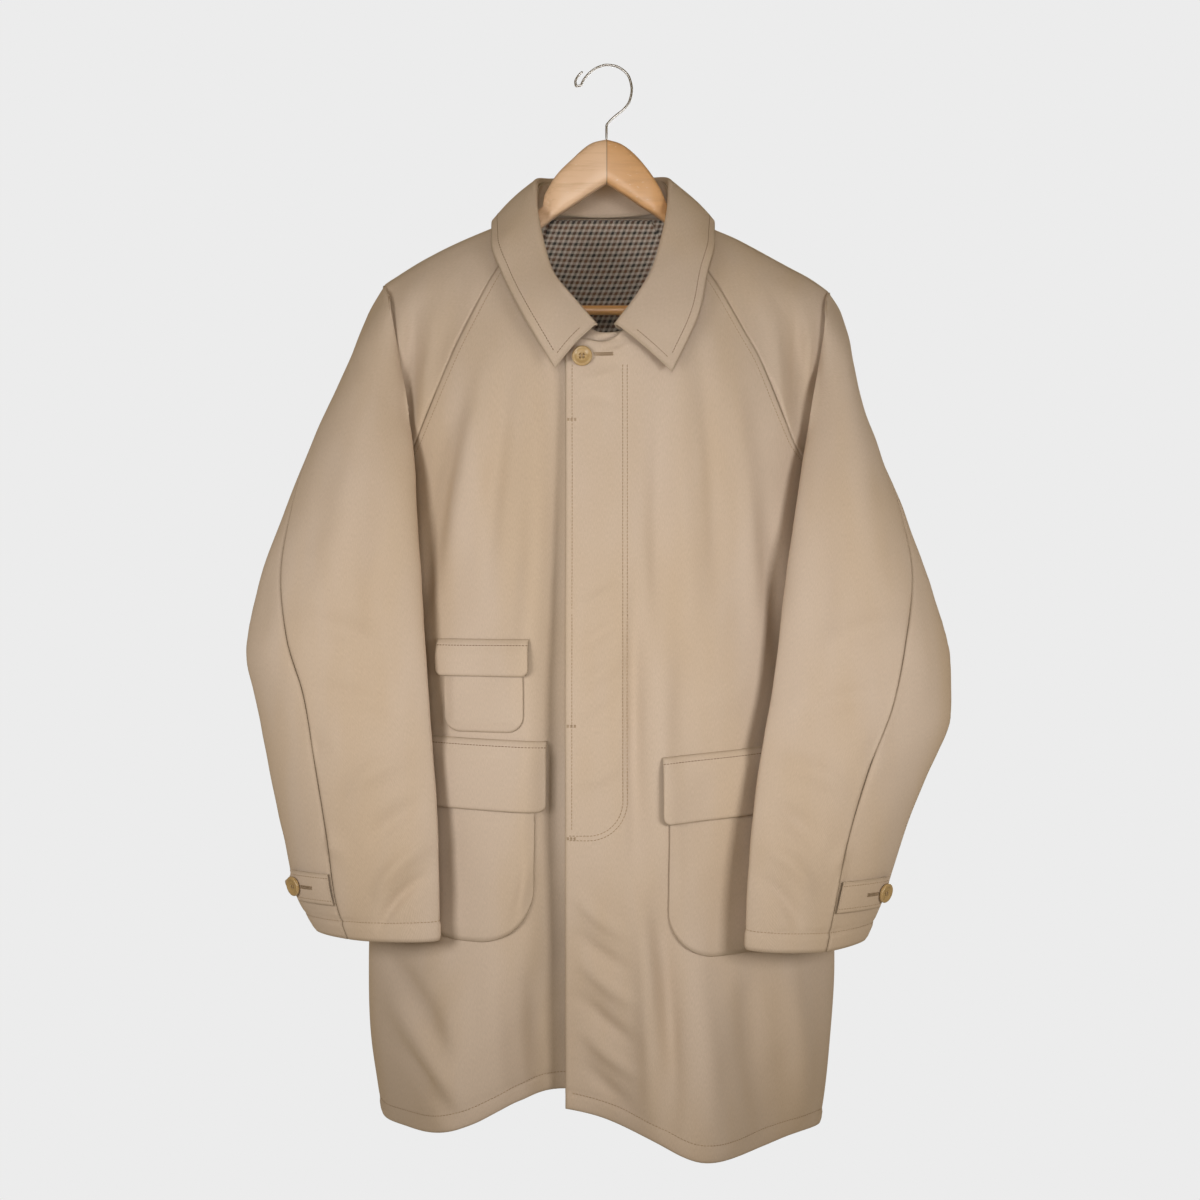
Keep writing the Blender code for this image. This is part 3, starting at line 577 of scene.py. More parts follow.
def panel_surface(panel, x, z):
    """Creased cloth of the back or a front: the right one sinks under the lap, the left one's edge rolls."""
    face = 1 if panel == "back" else -1
    points = body(x, z, face)
    normals = body_normal(x, z, face)
    share = np.abs(x) / half_width(x, z)
    sideways = np.stack([np.sign(x), 0 * x, 0 * x], -1)
    turned = ease((share[..., None] - SIDE_TURN) / (1 - SIDE_TURN))
    normals = unit(normals + (sideways - normals) * turned)
    if panel == "back":
        rise = BACK_STRENGTH * creases(x, z, BACK_CREASES)
    else:
        rise = creases(x, z, FRONT_CREASES)
    strength = bpy.context.scene.coat_sizes.crease
    rise = strength * (rise + waves(x, z)) * ease((1 - share) / SIDE_FLAT)
    if panel == "right":
        deeper = 1 + LAP_GROWTH * ease((LAP_TOP - z) / LAP_DROP)
        rise = rise - LAP_STEP * ease((x - LAP_X) / LAP_RUN) * deeper
    elif panel == "left":
        rise = rise + EDGE_ROLL * np.exp(-(x - OPENING_X["left"]) / EDGE_FADE)
    return points + normals * rise[..., None], normals


def back_plan(u):
    """x and z of the back's grid, from the right seams to the left ones."""
    across = 2 * u - 1
    rows_x, rows_z = [], []
    for i in range(len(EDGE_Z)):
        right, left = RAGLAN["right"][i], RAGLAN["left"][i]
        last = i == len(EDGE_Z) - 1
        bend = np.sin(np.pi / 2 * across) * 0.5 + 0.5 if last else u
        rows_x.append(right[2] + (left[2] - right[2]) * bend)
        rows_z.append(right[3] + (left[3] - right[3]) * u + 4.0 * (1 - across**2) * (i == 0))
    top_z = rows_z[-1]
    hem = [(-1, HEM["right"][-1][1]), (0, BACK_HEM_MID), (1, HEM["left"][-1][1])]
    hem_z = through(hem, 1, across)
    for share in BODY_ROWS[1:]:
        z = top_z + (hem_z - top_z) * share
        rows_x.append(half_width(across, z) * np.sin(np.pi / 2 * across))
        rows_z.append(z)
    return np.array(rows_x), np.array(rows_z)


def to_seam(x, z, at, across):
    """x with its side columns moved out to the full half width below the armpit, so that the seam closes."""
    for end in (0, -1):
        edge = x[:, end : None if end else 1]
        full = np.sign(edge) * half_width(edge, z[:, end : None if end else 1]) * WITHIN
        near = np.clip(across if end else -across, 0, 1) ** 6
        x = x + (full - edge) * ease((at - ARMPIT) / 0.4)[:, None] * near
    return x


def panel_rows():
    """Row numbers of a front or back: close at the neck, even below, close again at the hem."""
    last = len(EDGE_Z) + len(BODY_ROWS) - 2
    upper = np.linspace(0, ARMPIT, 52)[:-1]
    lower = np.linspace(ARMPIT, last - 0.2, 118)
    return np.concatenate([upper, lower, last - np.array([0.14, 0.08, 0.03, 0])])


def arm(side, z, angle):
    """Point on the arm's tilted oval, pressed flat, at each height and angle from its outer edge."""
    rows = ARM[side]
    outer = np.stack([through(rows, 1, z), through(rows, 2, z)], -1)
    inner = np.stack([through(rows, 3, z), through(rows, 4, z)], -1)
    middle, half = (outer + inner) / 2, (outer - inner) / 2
    ahead = unit(np.stack([half[..., 1], -half[..., 0]], -1)) * np.sign(half[..., :1])
    turn = np.radians(angle)[..., None]
    swell = np.sign(np.sin(turn)) * np.abs(np.sin(turn)) ** FLAT_ARM
    xy = middle + half * np.cos(turn) + ahead * (through(rows, 5, z)[..., None] * swell)
    return np.concatenate([xy, np.asarray(z, float)[..., None]], -1)


def sleeve_rows(side, face, shares):
    """Rows of a sleeve half, from neck to cuff: on the shoulder, along the fold's edge, round the arm."""
    rows = []
    for row in RAGLAN[side]:
        ridge = np.array([row[4], through(RIDGE, 1, row[4])])
        seam = np.array(row[:2] if face < 0 else row[2:4])
        plan = ridge + (seam - ridge) * (shares**1.7)[:, None]
        rows.append(body(plan[:, 0], plan[:, 1], face))
    for over_z, under_z, under in ARM_ROWS[side]:
        z = over_z + (under_z - over_z) * shares
        over = through(ARM_SEAMS[side], 1, over_z)
        reach = under - over if face < 0 else over + 360 - under
        rows.append(arm(side, z, over - face * reach * shares))
    above, below = rows[ARMPIT], rows[ARMPIT + 1]
    between = above + (below - above) * (0.03 + 0.3 * ease((shares - 0.5) / 0.5))[:, None]
    if face < 0:
        z = np.clip(above[:, 2], -430, -238)
        edge = arm(side, z, np.full_like(z, 180.0))
        edge[:, 1] = np.minimum(edge[:, 1], body(edge[:, 0], z, -1)[:, 1] - FOLD_LIFT)
        share = (ease(shares / 0.30) * (1 - ease((shares - 0.70) / 0.3)))[:, None]
        between = between + (edge - between) * share
    rows.insert(ARMPIT + 1, between)
    return np.array(rows)


def sleeve_surface(side, face):
    """Creased sleeve half: its rows resampled, its raglan edge laid on the body's, both seams sunk."""
    shoulder, bend, lower = np.linspace(0, 4.6, 40), np.linspace(4.6, 6.6, 49), np.linspace(6.6, 18, 120)
    at = np.concatenate([shoulder[:-1], bend[:-1], lower])
    shares = np.linspace(0, 1, 81)
    grid = along_rows(sleeve_rows(side, face, shares), at)
    first = 0 if face < 0 else 2
    seam = np.array([row[first : first + 2] for row in RAGLAN[side]], float)
    seam = along_rows(seam, np.minimum(at, ARMPIT))
    miss = body(seam[:, 0], seam[:, 1], face) - grid[:, -1]
    sewn = (1 - ease(at - ARMPIT))[:, None]
    weight = sewn * ease((shares - 0.5) * 2)[None, :]
    grid = grid + miss[:, None] * weight[..., None]
    columns = 60
    grid = respaced(grid, columns, SEAM_GAP, SEAM_GAP)
    normals = facing(grid, (0, face, 0))
    share = np.linspace(0, 1, columns)[None, :]
    past = at[:, None] - ARMPIT
    keep = ease(share / 0.08) * ease((1 - share) / 0.08) * ease((np.abs(past - 0.6) - 0.7) / 0.6)
    fold = np.exp(-np.abs(past) / np.where(past < 0, 0.45, 0.25))
    fold = fold * SHOULDER_FOLD * (1 if face < 0 else 0.6) * ease(share / 0.25) * ease((1 - share) / 0.2)
    grid[..., 1] -= face * fold
    grid = hem_band(grid, normals, CUFF_HEIGHT)
    x, z = grid[..., 0], grid[..., 2]
    if face < 0:
        rise = SLEEVE_STRENGTH * creases(x, z, SLEEVE_CREASES[side]) + waves(x, z)
    else:
        rise = creases(np.abs(x), z, BACK_SLEEVE_CREASES) + waves(x, z)
    grid = grid + normals * (rise * keep * bpy.context.scene.coat_sizes.crease)[..., None]
    grid[:, -1] += SEAM_LAP * unit(grid[:, -1] - grid[:, -2]) * sewn
    return sunk_seams(grid, normals, (True, True)), facing(grid, (0, face, 0))


def collar_lines(samples):
    """Fold, edge and neck lines of the collar, sampled evenly along its rows."""
    rows = np.arange(len(COLLAR), dtype=float)
    at = np.linspace(0, len(COLLAR) - 1, samples)
    folds, edges, necks = [], [], []
    for *fold, edge_x, edge_z, lift, face, neck_x, neck_z in COLLAR:
        folds.append(fold)
        edges.append(body(np.array([edge_x]), np.array([edge_z]), face)[0] + np.array([0, face * lift, 0]))
        necks.append(body(np.array([neck_x]), np.array([neck_z]), face)[0])
    lines = []
    for points in (folds, edges, necks):
        table = np.column_stack([rows, np.array(points, float)])
        lines.append(np.stack([through(table, k, at) for k in (1, 2, 3)], -1))
    return lines


def collar_surface(samples, across, bends, stand_rows):
    """Fall and stand: a bend over the fold line, then straight to the edge with a slight swell."""
    fold, edge, neck = collar_lines(samples)
    along = np.gradient(fold, axis=0)
    fall = unit(edge - fold)
    out = unit(np.cross(fall, along))
    away = fold[:, :2] - np.array(NECK_AXIS)
    out = out * np.sign((out[:, :2] * away).sum(axis=1, keepdims=True))
    for _ in range(10):
        out[1:-1] = unit(out[:-2] + 2 * out[1:-1] + out[2:])
    foot = fold - out * ROLL
    rise = unit(foot - neck)
    start = foot - rise * 3
    leave = fold + fall * 4
    bend = np.linspace(0, 1, bends)[None, :, None]
    hook = (
        (1 - bend) ** 3 * start[:, None]
        + 3 * (1 - bend) ** 2 * bend * (start + rise * 6)[:, None]
        + 3 * (1 - bend) * bend**2 * (leave - fall * 6)[:, None]
        + bend**3 * leave[:, None]
    )
    t = np.linspace(0, 1, across)[None, 1:, None]
    run = np.linspace(0, 1, samples)[:, None, None]
    swell = 3 * np.sin(np.pi * t) + 0.6 * np.sin(run * 31) * t + 0.4 * np.sin(run * 53 + 4 * t)
    flat = leave[:, None] + (edge - leave)[:, None] * t + out[:, None] * swell
    t = np.linspace(0, 1, stand_rows)[None, :, None]
    low = neck + rise * 0.8
    top = start - rise * 0.4
    stand = low[:, None] + (top - low)[:, None] * t
    return np.concatenate([hook, flat], axis=1), stand


def patch_surface(name, x, z):
    """Pocket or flap cloth: the front moved out, down to it at the sewn edges and plump between them."""
    side, x_in, x_out, top_in, top_out, low, _, flap = PATCHES[name]
    points, normals = panel_surface(side, x, z)
    u = (x - x_in) / (x_out - x_in)
    slant = (top_out - top_in) * u
    aside = np.minimum(np.abs(x - x_in), np.abs(x - x_out))
    above = z - low - slant
    below = top_in + slant - z
    if flap:
        lift = PATCH + 0.4 + 1.9 * ease(below / 5) + 2.6 * ease(below / 18)
        lift = lift + 0.5 * np.sin(x / 9.0) * ease(below / 30)
    else:
        edge = np.minimum(np.minimum(aside, np.maximum(above, 0)), np.maximum(below, 0) / 2)
        lift = PATCH + 0.3 + 1.7 * ease(edge / 12)
    return points + normals * lift[..., None], normals


def patch_grid(name, columns, rows):
    """x and z of a patch: columns from its inner edge, rows down to a low edge with round corners."""
    _, x_in, x_out, top_in, top_out, low, corner, _ = PATCHES[name]
    turn = np.linspace(0, np.pi, columns)
    u = 0.35 * np.linspace(0, 1, columns) + 0.65 * (1 - np.cos(turn)) / 2
    x = x_in + (x_out - x_in) * u
    from_end = np.minimum(np.abs(x - x_in), np.abs(x - x_out))
    short = np.clip(corner - from_end, 0, corner)
    top = top_in + (top_out - top_in) * u
    bottom = low + corner - np.sqrt(corner**2 - short**2) + (top_out - top_in) * u
    z = top + (bottom - top) * np.linspace(0, 1, rows)[:, None]
    return np.broadcast_to(x, z.shape), z


def densely(x, z, step=3.0):
    """The same bent line with points every few millimetres."""
    line = np.column_stack([x, z])
    arcs = line_arcs(line)
    return at_lengths(line, arcs, np.linspace(0, arcs[-1], max(int(arcs[-1] / step), 2))).T


def tab_grid(side):
    """Cuff tab: a strip on the sleeve from the overarm seam, running straight on past its outer edge."""
    z_mid = TAB_Z[side]
    over = float(through(ARM_SEAMS[side], 1, z_mid)) - 1
    angle = np.linspace(over, 34, 6)
    heights = z_mid + np.array([15, 5, -5, -15])
    base = arm(side, *np.broadcast_arrays(heights[:, None], angle[None, :]))
    run = unit(base[:, -1] - base[:, -2])
    tail = base[:, -1] + run * 3
    tip_z = z_mid + np.array([7.5, 2.5, -2.5, -7.5])
    reach = TAB_REACH[side] - np.array([8, 0, 0, 8])
    tip = arm(side, tip_z, np.full(4, angle[-1])) + run * reach[:, None]
    grid = np.concatenate([base, tail[:, None], tip[:, None]], axis=1)
    normals = grid_normals(grid)
    normals = -normals if normals[:, 0, 1].mean() > 0 else normals
    grid = grid + normals * (LIFT + PATCH)
    place = grid[1:3, 5].mean(axis=0)
    normal = unit(normals[1:3, 5].mean(axis=0))
    fine = along_rows(grid, np.linspace(0, 3, 25))
    fine = np.moveaxis(along_rows(np.moveaxis(fine, 1, 0), np.linspace(0, 7, 49)), 1, 0)
    return fine, facing(fine, normal), place, normal


def linear(red, green, blue):
    """Linear light of a colour given from 0 to 255 as a screen shows it."""
    shares = [c / 255 for c in (red, green, blue)]
    return tuple(c / 12.92 if c <= 0.04045 else ((c + 0.055) / 1.055) ** 2.4 for c in shares)


class Finish:
    """A material being wired: each method adds a node and gives back its output."""

    def __init__(self, name, roughness=0.7, **inputs):
        self.material = bpy.data.materials.new(name)
        self.material.use_nodes = True
        self.tree = self.material.node_tree
        self.shader = self.tree.nodes["Principled BSDF"]
        self.shader.inputs["Roughness"].default_value = roughness
        for key, value in inputs.items():
            self.shader.inputs[key.replace("_", " ").title().replace("Ior", "IOR")].default_value = value

    def node(self, kind, inputs=(), out=0, **settings):
        node = self.tree.nodes.new("ShaderNode" + kind)
        for key, value in settings.items():
            setattr(node, key, value)
        for key, value in dict(inputs).items():
            self.feed(node.inputs[key], value)
        return node.outputs[out]

    def feed(self, socket, value):
        if isinstance(value, bpy.types.NodeSocket):
            self.tree.links.new(value, socket)
        elif hasattr(value, "__len__") and len(value) == 3 and socket.type == "RGBA":
            socket.default_value = (*value, 1.0)
        else:
            socket.default_value = value

    def place(self):
        return self.node("TexCoord", out=3)

    def cloth_place(self):
        return self.node("UVMap", uv_map="cloth")

    def math(self, operation, a, b=0.0):
        return self.node("Math", {0: a, 1: b}, operation=operation)

    def scaled(self, vector, scale):
        return self.node("VectorMath", {0: vector, 1: scale}, operation="MULTIPLY")

    def noise(self, vector, scale, detail=3.0, rough=0.5):
        inputs = {"Vector": vector, "Scale": scale, "Detail": detail, "Roughness": rough}
        return self.node("TexNoise", inputs)

    def step(self, value, low, high):
        """Smooth step of a value from 0 at low to 1 at high."""
        inputs = {"Value": value, "From Min": low, "From Max": high}
        return self.node("MapRange", inputs, interpolation_type="SMOOTHSTEP")

    def mix(self, share, a, b, blend="MIX"):
        return self.node("Mix", {0: share, 6: a, 7: b}, 2, data_type="RGBA", blend_type=blend)

    def grain(self):
        """Long grain of wood along X, and a mask of where it is dense."""
        grain = self.noise(self.scaled(self.place(), (9.0, 160.0, 160.0)), 1.0, 5.0, 0.6)
        return grain, self.step(grain, 0.42, 0.75)

    def bump(self, height, strength, distance, below=None):
        inputs = {"Height": height, "Strength": strength, "Distance": distance}
        if below is not None:
            inputs["Normal"] = below
        return self.node("Bump", inputs)

    def done(self, colour=None, normal=None, roughness=None):
        for key, value in (("Base Color", colour), ("Normal", normal), ("Roughness", roughness)):
            if value is not None:
                self.feed(self.shader.inputs[key], value)
        return self.material


def gabardine(name):
    """Two-tone cotton twill: steep fine wales, slow drifts of both tones, a thin dark line at the cloth's
    edges: the seam line where sewn, painted shade along free edges and patch borders.
    """
    colours = bpy.context.scene.coat_colours
    made = Finish(name, 0.78, sheen_weight=0.2, sheen_roughness=0.45, sheen_tint=(1.0, 0.78, 0.46, 1.0))
    place = made.place()
    across = made.node("SeparateXYZ", {0: made.cloth_place()})
    down = across.node.outputs[1]
    wale = made.math("ADD", made.math("MULTIPLY", across, 900.0), made.math("MULTIPLY", down, 420.0))
    wale = made.math("SINE", made.math("MULTIPLY", wale, 2 * math.pi))
    yarn = made.noise(made.scaled(made.cloth_place(), (1500.0, 260.0, 1.0)), 1.0, 2.0)
    drift = made.step(made.noise(made.scaled(place, (11.0, 11.0, 2.6)), 1.0, 3.0, 0.5), 0.36, 0.68)
    colour = made.mix(made.math("MULTIPLY", drift, 0.42), colours.cloth_lit, colours.cloth_gold)
    # Painted shade: the edge weight darkens a thin line along every cloth edge, a seam line at sewn seams and
    # a painted shadow line at free edges and patch borders.
    edge = made.node("Attribute", out=2, attribute_name="edge")
    colour = made.mix(made.math("MULTIPLY", edge, 0.34), colour, tuple(c * 0.42 for c in colours.cloth_gold))
    fleck = made.math("ADD", made.math("MULTIPLY", yarn, 0.30), made.math("MULTIPLY", wale, 0.035))
    grey = made.math("ADD", fleck, 0.85)
    shade = made.node("CombineColor", {0: grey, 1: grey, 2: grey})
    colour = made.mix(1.0, colour, shade, "MULTIPLY")
    soft = made.noise(place, 75.0, 3.0, 0.55)
    normal = made.bump(soft, 0.10, 0.0020)
    normal = made.bump(wale, 0.10, 0.0002, normal)
    return made.done(colour, normal)


def gun_club(name):
    """Tweed check: black and brown stripes both ways on a grey ground, warp over weft in a twill."""
    colours = bpy.context.scene.coat_colours
    made = Finish(name, 0.9, sheen_weight=0.2)
    across = made.node("SeparateXYZ", {0: made.scaled(made.cloth_place(), (1000 / 11.5,) * 3)})
    threads = []
    for way in (across, across.node.outputs[1]):
        part = made.math("FRACT", way)
        black = made.math("LESS_THAN", part, 0.27)
        brown = made.math("LESS_THAN", made.math("ABSOLUTE", made.math("SUBTRACT", part, 0.63)), 0.14)
        colour = made.mix(brown, colours.lining_ground, colours.lining_brown)
        threads.append(made.mix(black, colour, colours.lining_black))
    twill = made.math("ADD", across, across.node.outputs[1])
    twill = made.math("GREATER_THAN", made.math("FRACT", made.math("MULTIPLY", twill, 9.0)), 0.5)
    colour = made.mix(twill, threads[0], threads[1])
    fuzz = made.noise(made.place(), 700.0, 2.0)
    colour = made.mix(made.math("MULTIPLY", fuzz, 0.12), colour, colours.lining_ground)
    return made.done(colour, made.bump(fuzz, 0.3, 0.0005))


def bar_wood(name):
    """Varnished round bar: one orange tone with long grain."""
    made = Finish(name, 0.4, coat_weight=0.25, coat_roughness=0.25)
    colour = bpy.context.scene.coat_colours.wood_bar
    return made.done(made.mix(made.grain()[1], colour, tuple(c * 0.8 for c in colour)))


def beech(name):
    """Varnished wood of two glued halves: long grain, a dark line at the joint, a few pale scratches; one
    half in a painted lit tone and the other in a painted shaded tone, as the arms face the light.
    """
    colours = bpy.context.scene.coat_colours
    made = Finish(name, 0.42, coat_weight=0.25, coat_roughness=0.25)
    place = made.place()
    x = made.node("SeparateXYZ", {0: place})
    # Painted light and shade: the wearer's right half takes the lit tone, the left half the shaded tone.
    half = made.math("GREATER_THAN", x, 0.0003)
    colour = made.mix(half, colours.wood_half_painted_lit, colours.wood_half_painted_shaded)
    grain, dense = made.grain()
    darker = tuple(c * 0.72 for c in colours.wood_half_painted_shaded)
    colour = made.mix(made.math("MULTIPLY", dense, 0.55), colour, darker)
    joint = made.step(made.math("ABSOLUTE", made.math("SUBTRACT", x, 0.0003)), 0.0008, 0.0002)
    colour = made.mix(made.math("MULTIPLY", joint, 0.7), colour, (0.10, 0.055, 0.03))
    scratch = made.noise(made.scaled(place, (140.0, 600.0, 900.0)), 1.0, 1.0)
    colour = made.mix(made.math("MULTIPLY", made.step(scratch, 0.72, 0.78), 0.6), colour, (0.80, 0.72, 0.62))
    return made.done(colour, made.bump(grain, 0.12, 0.0005))


def wire_steel(name):
    """Bright drawn wire with fine dulled patches."""
    made = Finish(name, 0.3, metallic=1.0)
    dull = made.noise(made.place(), 420.0, 3.0)
    colour = made.mix(dull, bpy.context.scene.coat_colours.steel, (0.50, 0.49, 0.48))
    rough = made.math("ADD", made.math("MULTIPLY", dull, 0.25), 0.2)
    return made.done(colour, None, rough)


def horn(name):
    """Polished horn: honey ground with dark clouded bands."""
    colours = bpy.context.scene.coat_colours
    made = Finish(name, 0.3, coat_weight=0.4, coat_roughness=0.15)
    place = made.place()
    cloud = made.noise(made.scaled(place, (70.0, 70.0, 150.0)), 1.0, 3.0, 0.6)
    colour = made.mix(made.step(cloud, 0.38, 0.70), colours.horn_light, colours.horn_dark)
    return made.done(colour, made.bump(made.noise(place, 900.0), 0.05, 0.0003))


def sewing_thread(name, colour):
    """Twisted thread: a matt colour with tiny light and dark turns."""
    made = Finish(name, 0.85)
    twist = made.noise(made.place(), 2600.0, 1.0)
    return made.done(made.mix(twist, tuple(c * 0.75 for c in colour), tuple(c * 1.25 for c in colour)))


def finish(name, make, *more):
    """The named material, made once."""
    return bpy.data.materials.get(name) or make(name, *more)


def piece(name, points, faces, materials, slot, node=None, face_kinds=None, uv=None, edge=None):
    """A mesh object at the origin from whole arrays, riding on the body and standing for its node."""
    mesh = bpy.data.meshes.new(name)
    mesh.from_pydata((np.asarray(points) * MM).tolist(), [], [list(face) for face in faces])
    mesh.shade_smooth()
    for material in materials:
        mesh.materials.append(material)
    if face_kinds is not None:
        mesh.polygons.foreach_set("material_index", np.asarray(face_kinds, np.int32))
    if uv is not None:
        layer = mesh.uv_layers.new(name="cloth")
        layer.data.foreach_set("uv", uv[np.asarray(faces).ravel()].astype(np.float32).ravel())
    # The edge weight carries the thin dark line along the cloth's edges: seam line where sewn, painted shade
    # elsewhere.
    if edge is not None:
        mesh.attributes.new("edge", "FLOAT", "POINT").data.foreach_set("value", edge.astype(np.float32))
    mesh.update()
    obj = bpy.data.objects.new(name, mesh)
    bpy.context.scene.collection.objects.link(obj)
    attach(obj, "root")
    if node:
        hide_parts(node)
    return obj


def cloth_piece(node, outer, normals, thick, materials, slot="cloth"):
    """Closed sheet: the outer grid, the same grid moved in, and a rounded rim of one ring between them."""
    rows, columns = outer.shape[:2]
    size = rows * columns
    inner = outer - normals * thick
    i, j = np.indices((rows, columns))
    beside = outer[np.clip(i, 1, rows - 2), np.clip(j, 1, columns - 2)]
    middle = (outer + inner) / 2 + unit(outer - beside) * thick * 0.4
    index = i * columns + j
    front = np.stack([index[:-1, :-1], index[:-1, 1:], index[1:, 1:], index[1:, :-1]], -1).reshape(-1, 4)
    rim = np.concatenate([index[0, :-1], index[:-1, -1], index[-1, :0:-1], index[:0:-1, 0]])
    ring = 2 * size + np.arange(len(rim))
    rim_next, ring_next = np.roll(rim, -1), np.roll(ring, -1)
    outside = np.stack([rim_next, rim, ring, ring_next], -1)
    inside = np.stack([ring_next, ring, rim + size, rim_next + size], -1)
    faces = np.concatenate([front, front[:, ::-1] + size, outside, inside])
    kinds = np.concatenate([np.zeros(len(front)), np.ones(len(front)), np.zeros(2 * len(rim))])
    points = np.concatenate([outer.reshape(-1, 3), inner.reshape(-1, 3), middle.reshape(-1, 3)[rim]])
    corner = points[front]
    way = np.cross(corner[:, 1] - corner[:, 0], corner[:, 2] - corner[:, 0])
    if (way * normals.reshape(-1, 3)[front[:, 0]]).sum() < 0:
        faces = faces[:, ::-1]
    across = row_arcs(outer)
    down = row_arcs(np.moveaxis(outer, 1, 0)).T
    uv = np.stack([across, down], -1).reshape(-1, 2) * MM
    uv = np.concatenate([uv, uv, uv[rim]])
    # Weight of the thin dark edge line: seam line at sewn edges, painted shade at free edges and patch
    # borders.
    from_edge = np.minimum(np.minimum(across, across[:, -1:] - across), np.minimum(down, down[-1:] - down))
    edge = np.exp(-((from_edge / 1.3) ** 2)).ravel()
    edge = np.concatenate([edge, edge, edge[rim]])
    obj = piece("cloth_" + node, points, faces, materials, slot, node, kinds, uv, edge)
    return obj


def stitches(name, lines, colour, pitch=3.4, length=2.5, width=0.75, height=0.45):
    """Rows of sewing: each stitch a four-sided spindle of five rings laid along its line of points."""
    sizes = bpy.context.scene.coat_sizes
    pitch, length, width = pitch * sizes.stitch, length * sizes.stitch, width * sizes.thread
    rings = np.array([(-1, 0.25), (-0.6, 0.9), (0, 1), (0.6, 0.9), (1, 0.25)])
    corners = np.array([(1, 0), (0, 1), (-1, 0), (0, -1)], float)
    blocks = []
    for points, normals in lines:
        arcs = line_arcs(points)
        middle = np.arange(length / 2, max(arcs[-1] - length / 2, length / 2 + 0.01), pitch)
        at = middle[:, None] + rings[None, :, 0] * length / 2
        place = at_lengths(points, arcs, at)
        up = unit(at_lengths(normals, arcs, at))
        along = unit(place[:, -1:] - place[:, :1])
        side = unit(np.cross(np.broadcast_to(along, up.shape), up))
        swell = rings[None, :, 1, None, None]
        block = place[:, :, None] + swell * corners[:, :1] * side[:, :, None] * width / 2
        block = block + (swell * corners[:, 1:] + 0.35) * up[:, :, None] * height / 2
        blocks.append(block.reshape(-1, 20, 3))
    points = np.concatenate(blocks)
    one = np.roll(np.array(lofted(len(rings), len(corners)))[:, ::-1], 1, axis=1)
    faces = (np.arange(len(points))[:, None, None] * 20 + one).reshape(-1, 4)
    tone = getattr(bpy.context.scene.coat_colours, "thread_" + colour)
    thread = finish("thread_" + colour, sewing_thread, tone)
    return piece(name, points.reshape(-1, 3), faces, [thread], "cloth")


def buttonhole(centre, along, normal, length=19.0):
    """Lines of a worked buttonhole: close short stitches across two lips, side by side."""
    along, side = unit(along), unit(np.cross(normal, along))
    steps = np.arange(-length / 2, length / 2, 0.9)
    lines = []
    for lip in (-1, 1):
        middle = centre + along * steps[:, None] + side * lip * 0.95 + normal * 0.25
        ends = np.stack([middle - side * 0.9, middle + side * 0.9], 1)
        lines += [(pair, np.stack([normal, normal])) for pair in ends]
    return lines


def tube(path, radius, sides):
    """Round rod along a path in a plane across Y, with eased ends: rings of points and two end faces."""
    path = np.asarray(path, float)
    along = unit(np.gradient(path, axis=0))
    ahead = np.array([0.0, 1.0, 0.0])
    up = unit(np.cross(along, ahead))
    arcs = line_arcs(path)
    from_end = np.minimum(arcs, arcs[-1] - arcs)
    size = radius * np.sqrt(np.clip(1 - (1 - np.clip(from_end / radius, 0, 1)) ** 2, 0.06, 1))
    turn = np.linspace(0, 2 * np.pi, sides, endpoint=False)
    rings = path[:, None] + size[:, None, None] * (
        np.cos(turn)[None, :, None] * up[:, None] + np.sin(turn)[None, :, None] * ahead
    )
    return rings.reshape(-1, 3), lofted(len(path), sides)


def lofted(rings, sides):
    """Faces between rings of points in order, with an end face at each end."""
    index = np.arange(rings * sides).reshape(rings, sides)
    near, far = index[:-1], index[1:]
    walls = np.stack([near, far, np.roll(far, -1, 1), np.roll(near, -1, 1)], -1).reshape(-1, 4)
    return walls.tolist() + [index[0].tolist(), index[-1, ::-1].tolist()]


def yoke():
    """Wooden yoke: rounded oblong sections between its top and under lines, along both arms."""
    x = np.linspace(-YOKE_HALF, YOKE_HALF, YOKE_HALF + 1)
    reach = np.abs(x)
    top = np.where(x < 0, through(YOKE, 1, reach), through(YOKE, 2, reach))
    covered = np.minimum(top, through(RIDGE, 1, x) - WOOD_UNDER_CLOTH)
    top = np.where(reach >= YOKE_COVERED, covered, top)
    under = through(YOKE, 3, reach)
    y, half = through(YOKE, 4, reach), through(YOKE, 5, reach) / 2
    past = np.clip(reach - YOKE_HALF + YOKE_END, 0, YOKE_END) / YOKE_END
    ends = np.sqrt(np.clip(1 - past**2, 0.1, 1))
    turn = np.linspace(0, 2 * np.pi, 40, endpoint=False)
    wide = np.sign(np.cos(turn)) * np.abs(np.cos(turn)) ** 0.5
    tall = np.sign(np.sin(turn)) * np.abs(np.sin(turn)) ** 0.5
    rows_y = y[:, None] + (half * ends)[:, None] * wide
    rows_z = ((top + under) / 2)[:, None] + ((top - under) / 2 * ends)[:, None] * tall
    points = np.stack([np.broadcast_to(x[:, None], rows_y.shape), rows_y, rows_z], -1)
    return points.reshape(-1, 3), lofted(len(x), len(turn))


